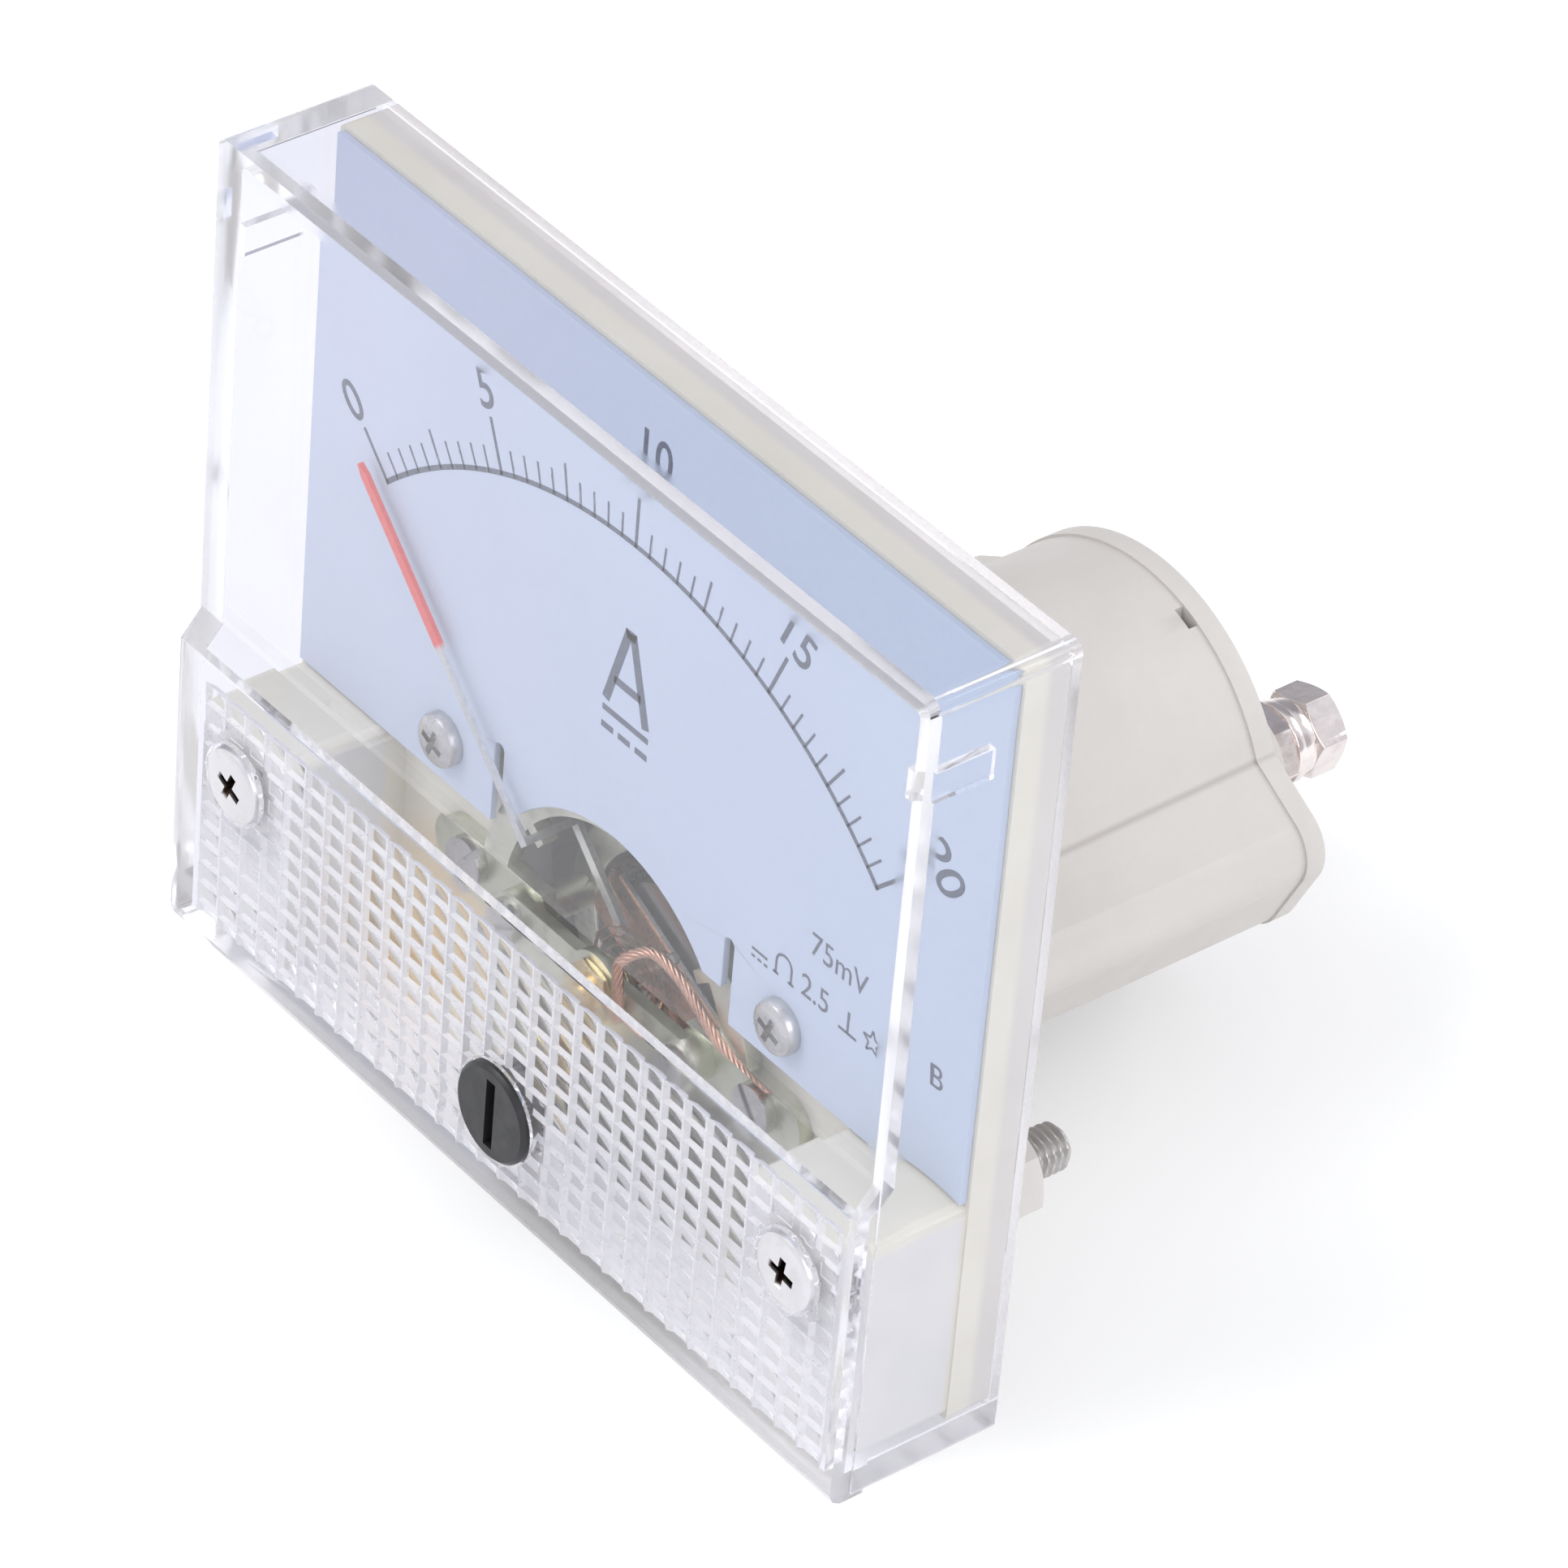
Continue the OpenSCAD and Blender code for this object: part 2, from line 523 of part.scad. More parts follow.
module terminal_nuts() color([0.80, 0.78, 0.76]) for (i = [-1, 1])
  hex_nut(term_af, term_r + 0.02, t0 + 3.5, t0 + 5.8, i * term_x, term_z, -15);

// ---- calibrating resistor ------------------------------------------------
bob_z = -4.2;
module resistor_bobbin() color([0.86, 0.82, 0.70]) {
  ybar(1.3, 27.4, cap_y, 0, bob_z, 32);
  ybar(3.2, 27.4, 28.2, 0, bob_z);
  ybar(3.2, cap_y - 1, cap_y - 0.2, 0, bob_z);
}
module resistor_winding() color([0.62, 0.40, 0.24]) difference() {
  ybar(2.8, 28.2, cap_y - 1, 0, bob_z);
  ybar(1.3, 27, cap_y, 0, bob_z, 32);
}

// ---- leads ---------------------------------------------------------------
// Round wire along a smooth curve through the points p
function unit(v) = v / norm(v);
function cr(a, b, c, d, t) = 0.5 * (2 * b + (c - a) * t + (2 * a - 5 * b + 4 * c - d) * t * t + (3 * b - a - 3 * c + d) * t * t * t);
function curve(p, m) = let (n = len(p)) concat(
  [for (i = [0:n - 2], j = [0:m - 1]) cr(p[max(i - 1, 0)], p[i], p[i + 1], p[min(i + 2, n - 1)], j / m)], [p[n - 1]]);
module wire(p, r, m, ref) {
  q = curve(p, m); n = len(q); s = 8;
  rings = [for (i = [0:n - 1]) let (
      t = unit(q[min(i + 1, n - 1)] - q[max(i - 1, 0)]),
      u = unit(cross(t, ref)), v = cross(t, u))
    for (k = [0:s - 1]) q[i] + r * (cos(360 * k / s) * u + sin(360 * k / s) * v)];
  polyhedron(rings, concat(
    [[for (k = [0:s - 1]) k]],
    [for (i = [0:n - 2], k = [0:s - 1]) [i * s + (k + 1) % s, i * s + k, (i + 1) * s + k, (i + 1) * s + (k + 1) % s]],
    [[for (k = [s - 1:-1:0]) (n - 1) * s + k]]));
}
module front_lead() color([0.74, 0.40, 0.24])
  wire([[2.75, -4.7, -0.9], [2.9, -5, 0.9], [2.7, -4.8, 3.2], [4.4, -3.95, 4.9], [6.6, -3.6, 4.4],
    [8.4, -3.48, 3.3], [10.3, -3.4, 2.1], [12.4, -3.32, 1.4], [14.8, -3.27, 1.15]], 0.3, 4, [0, 0.3, 1]);
module supply_lead() color([0.75, 0.20, 0.18])
  wire([[7, cap_y - 1.55, 2.5], [7.3, 31, 3.6], [5.6, 24, 9], [4.2, 12, 10.2], [3.8, 3, 10.4], [3.6, -1.75, 10.4]], 0.4, 5, [1, 0, 0.2]);
module return_lead() color([0.15, 0.15, 0.17])
  wire([[-7, cap_y - 1.5, 2.5], [-7, 30, 1.7], [-6.4, 24, 0.2], [-5.6, 19, -0.8], [-5, 16.65, -1]], 0.4, 5, [1, 0, 0.2]);

base_housing();
rear_cap();
front_cover();
dial_plate();
dial_screws();
case_screws();
mounting_washers();
mounting_nuts();
movement_frame();
movement_screws();
yoke_ring();
core_magnet();
core_supports();
front_bridge();
rear_bridge();
front_bridge_screws();
rear_bridge_screws();
front_jewel_screw();
rear_jewel_screw();
jewel_lock_nuts();
zero_lever();
zero_adjuster();
front_hairspring();
rear_hairspring();
coil_former();
moving_coil();
front_staff();
rear_staff();
spring_collets();
pointer();
balance_weights();
terminal_studs();
terminal_lock_nuts();
terminal_flat_washers();
terminal_spring_washers();
terminal_nuts();
resistor_bobbin();
resistor_winding();
front_lead();
supply_lead();
return_lead();
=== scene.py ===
import json
import math

import bmesh
import bpy
from mathutils import Matrix, Vector


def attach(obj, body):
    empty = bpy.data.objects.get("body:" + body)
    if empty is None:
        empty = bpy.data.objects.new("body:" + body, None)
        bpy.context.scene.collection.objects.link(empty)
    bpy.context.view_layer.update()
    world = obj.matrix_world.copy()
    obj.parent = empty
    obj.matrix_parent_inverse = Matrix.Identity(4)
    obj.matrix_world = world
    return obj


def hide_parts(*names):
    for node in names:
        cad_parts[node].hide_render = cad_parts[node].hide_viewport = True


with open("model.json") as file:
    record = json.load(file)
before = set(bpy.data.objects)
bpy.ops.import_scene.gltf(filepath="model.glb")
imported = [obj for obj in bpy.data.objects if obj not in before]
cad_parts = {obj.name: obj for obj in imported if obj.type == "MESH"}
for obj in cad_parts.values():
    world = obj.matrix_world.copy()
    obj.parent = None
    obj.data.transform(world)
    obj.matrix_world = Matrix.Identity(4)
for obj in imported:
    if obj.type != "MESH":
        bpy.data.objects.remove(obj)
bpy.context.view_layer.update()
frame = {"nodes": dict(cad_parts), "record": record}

NODES = frame["nodes"]
MM = 0.001
scene = bpy.context.scene

# ---------------------------------------------------------------- measures
FRONT_W, TOP, BOT = 64.0, 42.4, -13.6
WY, LY = -10.5, -11.95           # window and lower panel, front faces
WALL = 1.5
SX = 26.25                       # case screws
PZ = -1.0                        # height of the pivot
DIAL_Y = -3.6
HEAD_Y = LY + 1.3
ADJ_Z = -6.8
T0 = 38.4                        # seat of the terminal nuts


# ---------------------------------------------------------------- helpers
def link(ob):
    scene.collection.objects.link(ob)
    return ob


def obj_from(name, verts, faces, smooth=False):
    me = bpy.data.meshes.new(name)
    me.from_pydata([(v[0] * MM, v[1] * MM, v[2] * MM) for v in verts], [], faces)
    me.validate()
    ob = link(bpy.data.objects.new(name, me))
    if smooth:
        for p in me.polygons:
            p.use_smooth = True
    return ob


def tidy(ob, dist=1e-7):
    bm = bmesh.new()
    bm.from_mesh(ob.data)
    bmesh.ops.remove_doubles(bm, verts=bm.verts, dist=dist)
    bmesh.ops.recalc_face_normals(bm, faces=bm.faces)
    bm.to_mesh(ob.data)
    bm.free()
    ob.data.update()
    return ob


def bake_mods(ob):
    """Applies the modifiers of ob to its mesh."""
    bpy.context.view_layer.update()
    ev = ob.evaluated_get(bpy.context.evaluated_depsgraph_get())
    me = bpy.data.meshes.new_from_object(ev)
    old = ob.data
    ob.modifiers.clear()
    ob.data = me
    if old.users == 0:
        bpy.data.meshes.remove(old)
    return ob


def boolean(ob, other, op):
    m = ob.modifiers.new("b", "BOOLEAN")
    m.operation = op
    m.object = other
    m.solver = "EXACT"
    bake_mods(ob)
    bpy.data.objects.remove(other)
    return ob


def bevel(ob, width, angle=32, segments=2, weld=True):
    """Rounds the sharp edges of ob, width in millimetres."""
    if weld:
        w = ob.modifiers.new("weld", "WELD")
        w.merge_threshold = 2e-6
    b = ob.modifiers.new("bevel", "BEVEL")
    b.width = width * MM
    b.segments = segments
    b.limit_method = "ANGLE"
    b.angle_limit = math.radians(angle)
    b.harden_normals = False
    b.use_clamp_overlap = True
    return ob


def shade(ob, angle=35):
    """Smooth shading with sharp edges kept by angle."""
    bm = bmesh.new()
    bm.from_mesh(ob.data)
    for f in bm.faces:
        f.smooth = True
    lim = math.radians(angle)
    for e in bm.edges:
        if len(e.link_faces) == 2:
            e.smooth = e.calc_face_angle(0.0) < lim
        else:
            e.smooth = False
    bm.to_mesh(ob.data)
    bm.free()
    return ob


def lathe(name, profile, n=64, x=0.0, z=0.0):
    """Turned shape about the line along Y through x, z. profile is a list of (y, r)."""
    verts, faces = [], []
    for y, r in profile:
        for k in range(n):
            a = 2 * math.pi * k / n
            verts.append((x + r * math.cos(a), y, z + r * math.sin(a)))
    m = len(profile)
    for i in range(m - 1):
        for k in range(n):
            a, b = i * n + k, i * n + (k + 1) % n
            faces.append((a, b, b + n, a + n))
    faces.append(tuple(range(n)))
    faces.append(tuple((m - 1) * n + k for k in reversed(range(n))))
    return tidy(obj_from(name, verts, faces))


def thread(name, r, depth, pitch, y0, y1, x, z, n=36, chamfer=0.4, root_end=0.0):
    """Threaded bar along Y. The thread fades out over root_end at y0 and has a chamfer at y1."""
    rows = max(2, int(round((y1 - y0) / pitch * 8)))
    verts, faces = [], []
    for i in range(rows + 1):
        y = y0 + (y1 - y0) * i / rows
        for k in range(n):
            a = 2 * math.pi * k / n
            ph = ((y / pitch) - k / n) % 1.0
            tri = abs(2 * ph - 1)                       # 1 at the crest
            tri = min(max((tri - 0.12) / 0.76, 0), 1)
            rr = r - depth * (1 - tri)
            if y > y1 - chamfer:
                rr = min(rr, r - (y - (y1 - chamfer)) * 1.0)
            if root_end and y < y0 + root_end:
                rr = min(rr, r - depth + depth * (y - y0) / root_end)
            verts.append((x + rr * math.cos(a), y, z + rr * math.sin(a)))
    for i in range(rows):
        for k in range(n):
            a, b = i * n + k, i * n + (k + 1) % n
            faces.append((a, b, b + n, a + n))
    faces.append(tuple(range(n)))
    faces.append(tuple(rows * n + k for k in reversed(range(n))))
    return tidy(obj_from(name, verts, faces))


def join(name, *obs):
    bm = bmesh.new()
    for o in obs:
        me = o.data.copy()
        me.transform(o.matrix_world)
        bm.from_mesh(me)
        bpy.data.meshes.remove(me)
    me = bpy.data.meshes.new(name)
    bm.to_mesh(me)
    bm.free()
    for o in obs:
        bpy.data.objects.remove(o)
    return link(bpy.data.objects.new(name, me))


def frames_along(pts, closed=False, ref=Vector((0, 0.3, 1))):
    n = len(pts)
    out, prev = [], None
    for i in range(n):
        if closed:
            t = pts[(i + 1) % n] - pts[i - 1]
        else:
            t = pts[min(i + 1, n - 1)] - pts[max(i - 1, 0)]
        t.normalize()
        u = (ref if prev is None else prev) - t * (ref if prev is None else prev).dot(t)
        u.normalize()
        prev = u
        out.append((t, u, t.cross(u)))
    return out


def tube(name, pts, r, seg=10, ref=Vector((0, 0.3, 1))):
    pts = [Vector(p) for p in pts]
    fr = frames_along(pts, ref=ref)
    verts, faces = [], []
    for p, (t, u, v) in zip(pts, fr):
        for k in range(seg):
            a = 2 * math.pi * k / seg
            verts.append(p + u * (r * math.cos(a)) + v * (r * math.sin(a)))
    for i in range(len(pts) - 1):
        for k in range(seg):
            a, b = i * seg + k, i * seg + (k + 1) % seg
            faces.append((a, b, b + seg, a + seg))
    faces.append(tuple(range(seg)))
    faces.append(tuple((len(pts) - 1) * seg + k for k in reversed(range(seg))))
    return tidy(obj_from(name, verts, faces, True))


def curve_through(p, m):
    p = [Vector(q) for q in p]
    out = []
    for i in range(len(p) - 1):
        a, b, c, d = p[max(i - 1, 0)], p[i], p[i + 1], p[min(i + 2, len(p) - 1)]
        for j in range(m):
            t = j / m
            out.append(0.5 * (2 * b + (c - a) * t + (2 * a - 5 * b + 4 * c - d) * t * t
                              + (3 * b - a - 3 * c + d) * t ** 3))
    return out + [p[-1]]


# ---------------------------------------------------------------- materials
def new_mat(name):
    m = bpy.data.materials.new(name)
    m.use_nodes = True
    nt = m.node_tree
    nt.nodes.clear()
    out = nt.nodes.new("ShaderNodeOutputMaterial")
    b = nt.nodes.new("ShaderNodeBsdfPrincipled")
    nt.links.new(b.outputs[0], out.inputs[0])
    return m, nt, b


def coords(nt, stretch=(1, 1, 1)):
    tc = nt.nodes.new("ShaderNodeTexCoord")
    if stretch == (1, 1, 1):
        return tc.outputs["Object"]
    mp = nt.nodes.new("ShaderNodeMapping")
    mp.inputs["Scale"].default_value = stretch
    nt.links.new(tc.outputs["Object"], mp.inputs["Vector"])
    return mp.outputs["Vector"]


def noise(nt, vec, scale, detail=3.0, rough=0.5, dist=0.0):
    n = nt.nodes.new("ShaderNodeTexNoise")
    n.inputs["Scale"].default_value = scale
    n.inputs["Detail"].default_value = detail
    n.inputs["Roughness"].default_value = rough
    n.inputs["Distortion"].default_value = dist
    nt.links.new(vec, n.inputs["Vector"])
    return n.outputs["Fac"]


def ramp(nt, fac, stops):
    r = nt.nodes.new("ShaderNodeValToRGB")
    el = r.color_ramp.elements
    while len(el) > 1:
        el.remove(el[-1])
    el[0].position = stops[0][0]
    el[0].color = (*stops[0][1], 1)
    for pos, col in stops[1:]:
        e = el.new(pos)
        e.color = (*col, 1)
    nt.links.new(fac, r.inputs["Fac"])
    return r.outputs["Color"]


def spread(nt, fac, lo, hi, a=0.3, b=0.7):
    m = nt.nodes.new("ShaderNodeMapRange")
    m.inputs["From Min"].default_value = a
    m.inputs["From Max"].default_value = b
    m.inputs["To Min"].default_value = lo
    m.inputs["To Max"].default_value = hi
    nt.links.new(fac, m.inputs["Value"])
    return m.outputs["Result"]


def mix(nt, fac, a, b, mode="MIX"):
    m = nt.nodes.new("ShaderNodeMix")
    m.data_type = "RGBA"
    m.blend_type = mode
    for sock, val in ((m.inputs[0], fac), (m.inputs[6], a), (m.inputs[7], b)):
        if isinstance(val, (int, float)):
            sock.default_value = val
        elif isinstance(val, tuple):
            sock.default_value = (*val, 1)
        else:
            nt.links.new(val, sock)
    return m.outputs[2]


def bump(nt, b, height, strength, dist, after=None):
    n = nt.nodes.new("ShaderNodeBump")
    n.inputs["Strength"].default_value = strength
    n.inputs["Distance"].default_value = dist
    nt.links.new(height, n.inputs["Height"])
    if after is not None:
        nt.links.new(after, n.inputs["Normal"])
    nt.links.new(n.outputs["Normal"], b.inputs["Normal"])
    return n.outputs["Normal"]


def scaled(c, k):
    return tuple(min(1.0, x * k) for x in c)


def plastic(name, col, vary=0.05, rough=(0.42, 0.55), grain=9000, grain_h=1.2e-5, mottle=160, coat=0.0, tint=None, sss=0.0):
    m, nt, b = new_mat(name)
    v = coords(nt)
    big = noise(nt, v, mottle, 4, 0.55)
    c = ramp(nt, big, [(0.3, scaled(col, 1 - vary)), (0.52, col), (0.72, scaled(tint or col, 1 + vary * 0.6))])
    fine = noise(nt, v, mottle * 14, 2, 0.6)
    c = mix(nt, spread(nt, fine, 0.0, 0.10), c, scaled(col, 0.86))
    nt.links.new(c, b.inputs["Base Color"])
    nt.links.new(spread(nt, noise(nt, v, mottle * 3, 3), *rough), b.inputs["Roughness"])
    bump(nt, b, noise(nt, v, grain, 2, 0.6), 0.35, grain_h)
    b.inputs["IOR"].default_value = 1.5
    if coat:
        b.inputs["Coat Weight"].default_value = coat
        b.inputs["Coat Roughness"].default_value = 0.12
    if sss:
        b.inputs["Subsurface Weight"].default_value = sss
        b.inputs["Subsurface Radius"].default_value = (0.0012, 0.0010, 0.0008)
        b.inputs["Subsurface Scale"].default_value = 1.0
    return m


def metal(name, col, rough=(0.2, 0.34), vary=0.10, stretch=(1, 1, 1), scale=900, bump_h=1.5e-5, dark=None, spots=0.25):
    m, nt, b = new_mat(name)
    v = coords(nt, stretch)
    big = noise(nt, v, scale * 0.25, 4, 0.6)
    c = ramp(nt, big, [(0.28, scaled(col, 1 - vary)), (0.55, col), (0.75, scaled(col, 1 + vary * 0.5))])
    stain = noise(nt, coords(nt), scale * 0.6, 5, 0.65, 0.4)
    c = mix(nt, spread(nt, stain, 0.0, spots, 0.52, 0.74), c, dark or scaled(col, 0.55))
    nt.links.new(c, b.inputs["Base Color"])
    nt.links.new(spread(nt, noise(nt, v, scale, 3), *rough), b.inputs["Roughness"])
    bump(nt, b, noise(nt, v, scale * 4, 2, 0.5), 0.3, bump_h)
    b.inputs["Metallic"].default_value = 1.0
    return m


def clear_plastic(name):
    """Colourless with a faint violet cast. The lower panel and the skirts are a little hazy."""
    m, nt, b = new_mat(name)
    v = coords(nt)
    b.inputs["Transmission Weight"].default_value = 1.0
    b.inputs["IOR"].default_value = 1.50
    cloud = noise(nt, v, 90, 3, 0.5)
    nt.links.new(ramp(nt, cloud, [(0.35, (0.918, 0.918, 0.962)), (0.65, (0.938, 0.938, 0.972))]), b.inputs["Base Color"])
    sep = nt.nodes.new("ShaderNodeSeparateXYZ")
    nt.links.new(v, sep.inputs[0])
    smear = noise(nt, v, 60, 4, 0.6, 0.6)
    low = spread(nt, sep.outputs["Z"], 0.085, 0.0, 6.6 * MM, 8.2 * MM)
    off = nt.nodes.new("ShaderNodeVectorMath")          # distance from the middle of the front
    off.operation = "SUBTRACT"
    off.inputs[1].default_value = (0, 0, (TOP + BOT) / 2 * MM)
    nt.links.new(v, off.inputs[0])
    ab = nt.nodes.new("ShaderNodeVectorMath")
    ab.operation = "ABSOLUTE"
    nt.links.new(off.outputs[0], ab.inputs[0])
    s2 = nt.nodes.new("ShaderNodeSeparateXYZ")
    nt.links.new(ab.outputs[0], s2.inputs[0])

    def two(op, p, q):
        n = nt.nodes.new("ShaderNodeMath")
        n.operation = op
        nt.links.new(p, n.inputs[0])
        nt.links.new(q, n.inputs[1])
        return n.outputs[0]

    rims = two("MAXIMUM", spread(nt, s2.outputs["X"], 0.0, 0.15, (FRONT_W / 2 - 1.7) * MM, (FRONT_W / 2 - 1.4) * MM),
               spread(nt, s2.outputs["Z"], 0.0, 0.15, ((TOP - BOT) / 2 - 1.7) * MM, ((TOP - BOT) / 2 - 1.4) * MM))
    near = spread(nt, sep.outputs["Y"], 0.15, 0.0, (WY + 1.3) * MM, (WY + 1.6) * MM)
    back = spread(nt, sep.outputs["Y"], 0.0, 0.12, -0.5 * MM, -0.2 * MM)
    add = nt.nodes.new("ShaderNodeMath")
    add.operation = "MAXIMUM"
    nt.links.new(low, add.inputs[0])
    nt.links.new(two("MAXIMUM", two("MINIMUM", rims, near), back), add.inputs[1])
    tot = nt.nodes.new("ShaderNodeMath")
    tot.operation = "ADD"
    nt.links.new(add.outputs[0], tot.inputs[0])
    nt.links.new(spread(nt, smear, 0.0, 0.018, 0.45, 0.75), tot.inputs[1])
    nt.links.new(tot.outputs[0], b.inputs["Roughness"])
    scratch = noise(nt, coords(nt, (1, 1, 0.06)), 5200, 2, 0.5, 0.15)
    bump(nt, b, spread(nt, scratch, 0.0, 1.0, 0.66, 0.76), 0.10, 2e-6)
    return m


def groove_plastic(name):
    """The sides of the grooves scatter light and look white."""
    m, nt, b = new_mat(name)
    v = coords(nt)
    b.inputs["Transmission Weight"].default_value = 0.35
    b.inputs["IOR"].default_value = 1.50
    g = noise(nt, v, 1500, 3, 0.6)
    nt.links.new(ramp(nt, g, [(0.3, (0.70, 0.69, 0.73)), (0.7, (0.80, 0.79, 0.82))]), b.inputs["Base Color"])
    nt.links.new(spread(nt, g, 0.25, 0.45), b.inputs["Roughness"])
    bump(nt, b, g, 0.2, 6e-6)
    return m


def housing_plastic():
    """Off-white moulding, yellowed and creamier inside the cover."""
    m = plastic("housing_plastic", (0.60, 0.572, 0.545), 0.045, (0.40, 0.55), 7000, 1.4e-5, 120, tint=(0.60, 0.575, 0.55), sss=0.06)
    nt = m.node_tree
    b = next(n for n in nt.nodes if n.type == "BSDF_PRINCIPLED")
    old = b.inputs["Base Color"].links[0].from_socket
    sep = nt.nodes.new("ShaderNodeSeparateXYZ")
    nt.links.new(coords(nt), sep.inputs[0])
    y = sep.outputs["Y"]
    inside = spread(nt, y, 1.0, 0.0, -1.70 * MM, -1.2 * MM)
    posts = spread(nt, y, 1.0, 0.0, -3.6 * MM, -3.2 * MM)
    sides = nt.nodes.new("ShaderNodeMath")
    sides.operation = "MULTIPLY"
    nt.links.new(posts, sides.inputs[0])
    nt.links.new(spread(nt, sep.outputs["Z"], 1.0, 0.0, 3.0 * MM, 3.5 * MM), sides.inputs[1])
    posts = sides.outputs[0]
    g = noise(nt, coords(nt), 200, 3, 0.5)
    cream = ramp(nt, g, [(0.3, (0.64, 0.615, 0.53)), (0.7, (0.68, 0.655, 0.585))])
    pale = ramp(nt, g, [(0.3, (0.60, 0.595, 0.60)), (0.7, (0.64, 0.635, 0.63))])
    dst = nt.nodes.new("ShaderNodeVectorMath")           # old varnish on the floor at the left
    dst.operation = "DISTANCE"
    dst.inputs[1].default_value = (-17 * MM, -1.8 * MM, -8.5 * MM)
    nt.links.new(coords(nt), dst.inputs[0])
    amber = spread(nt, dst.outputs["Value"], 0.75, 0.0, 2.5 * MM, 7.5 * MM)
    cream = mix(nt, amber, cream, (0.66, 0.44, 0.17))
    movement_shade = nt.nodes.new("ShaderNodeVectorMath")          # painted shade round the movement: the floor is darkened where the inside lies in shadow
    movement_shade.operation = "DISTANCE"
    movement_shade.inputs[1].default_value = (3.5 * MM, -1.8 * MM, -5.0 * MM)
    nt.links.new(coords(nt), movement_shade.inputs[0])
    cream = mix(nt, spread(nt, movement_shade.outputs["Value"], 0.85, 0.0, 8.5 * MM, 15.5 * MM), cream, (0.075, 0.072, 0.07))
    c = mix(nt, posts, cream, pale)
    # painted shade: a thin dark line in the crease where each lobe meets the round body; the body tapers a little
    ax = nt.nodes.new("ShaderNodeMath")
    ax.operation = "ABSOLUTE"
    nt.links.new(sep.outputs["X"], ax.inputs[0])
    flat = nt.nodes.new("ShaderNodeCombineXYZ")
    nt.links.new(ax.outputs[0], flat.inputs[0])
    nt.links.new(sep.outputs["Z"], flat.inputs[2])
    way = nt.nodes.new("ShaderNodeCombineXYZ")
    for k, (p, q) in enumerate(((11.88, -0.01236), (0, 0), (6.14, 0.00707))):
        line = nt.nodes.new("ShaderNodeMath")
        line.operation = "MULTIPLY_ADD"
        line.inputs[1].default_value = q
        line.inputs[2].default_value = p * MM
        nt.links.new(y, line.inputs[0])
        nt.links.new(line.outputs[0], way.inputs[k])
    gap = nt.nodes.new("ShaderNodeVectorMath")
    gap.operation = "DISTANCE"
    nt.links.new(flat.outputs[0], gap.inputs[0])
    nt.links.new(way.outputs[0], gap.inputs[1])
    crease_shade = spread(nt, gap.outputs["Value"], 0.42, 0.0, 0.06 * MM, 0.34 * MM)
    axis = nt.nodes.new("ShaderNodeCombineXYZ")          # painted shade: the bore of the body is darkened, standing in for the shadow inside it
    axis.inputs[2].default_value = 1.0 * MM
    nt.links.new(y, axis.inputs[1])
    bore = nt.nodes.new("ShaderNodeVectorMath")
    bore.operation = "DISTANCE"
    nt.links.new(coords(nt), bore.inputs[0])
    nt.links.new(axis.outputs[0], bore.inputs[1])
    bore_shade = nt.nodes.new("ShaderNodeMath")
    bore_shade.operation = "MULTIPLY"
    nt.links.new(spread(nt, bore.outputs["Value"], 0.35, 0.0, 12.0 * MM, 12.3 * MM), bore_shade.inputs[0])
    nt.links.new(spread(nt, y, 1.0, 0.0, 31.0 * MM, 33.0 * MM), bore_shade.inputs[1])
    # the painted crease shade goes on first, then the painted shade in the bore
    old = mix(nt, crease_shade, old, (0.30, 0.27, 0.25))
    c = mix(nt, bore_shade.outputs[0], mix(nt, inside, old, c), (0.09, 0.088, 0.085))
    nt.links.new(c, b.inputs["Base Color"])
    return m


M_HOUSE = housing_plastic()
M_NYLON = plastic("white_nylon", (0.60, 0.575, 0.555), 0.04, (0.30, 0.42), 9000, 1.0e-5, 300, sss=0.10)
M_BLACK = plastic("black_plastic", (0.018, 0.018, 0.020), 0.15, (0.30, 0.46), 12000, 1.5e-5, 420, tint=(0.03, 0.03, 0.034))
M_BOBBIN = plastic("bobbin_plastic", (0.60, 0.50, 0.32), 0.08, (0.4, 0.55), 9000, 1.2e-5, 300)
M_RED = plastic("red_insulation", (0.45, 0.03, 0.02), 0.12, (0.35, 0.5), 9000, 1.2e-5, 500)
M_BLK = plastic("black_insulation", (0.02, 0.02, 0.024), 0.15, (0.35, 0.5), 9000, 1.2e-5, 500)
M_CLEAR = clear_plastic("clear_plastic")
M_GROOVE = groove_plastic("groove_plastic")
M_STEEL = metal("zinc_steel", (0.62, 0.61, 0.60), (0.24, 0.38), 0.14, (1, 1, 1), 1500, 1.6e-5, (0.30, 0.28, 0.26), 0.35)
M_NICKEL = metal("nickel_plate", (0.88, 0.81, 0.79), (0.10, 0.22), 0.10, (1, 1, 1), 1300, 1.0e-5, (0.36, 0.30, 0.27), 0.30)
M_IRON = metal("soft_iron", (0.66, 0.665, 0.57), (0.32, 0.46), 0.16, (1, 0.12, 1), 1100, 2.5e-5, (0.17, 0.16, 0.15), 0.45)
M_MAGNET = metal("magnet_alloy", (0.27, 0.27, 0.27), (0.30, 0.42), 0.14, (1, 0.10, 1), 1300, 2.5e-5, (0.15, 0.15, 0.15), 0.40)
M_ALLOY = metal("cast_alloy", (0.70, 0.71, 0.60), (0.34, 0.50), 0.12, (1, 1, 1), 900, 4.0e-5, (0.28, 0.28, 0.26), 0.40)
M_BRASS = metal("turned_brass", (0.74, 0.61, 0.38), (0.20, 0.34), 0.12, (1, 1, 1), 1500, 1.4e-5, (0.40, 0.27, 0.12), 0.35)
M_ALU = metal("sheet_aluminium", (0.78, 0.79, 0.80), (0.22, 0.36), 0.08, (0.15, 1, 1), 1700, 1.2e-5, (0.48, 0.48, 0.50), 0.25)
M_BRONZE = metal("spring_bronze", (0.76, 0.50, 0.38), (0.18, 0.30), 0.10, (1, 1, 1), 1500, 8e-6, (0.45, 0.26, 0.18), 0.25)


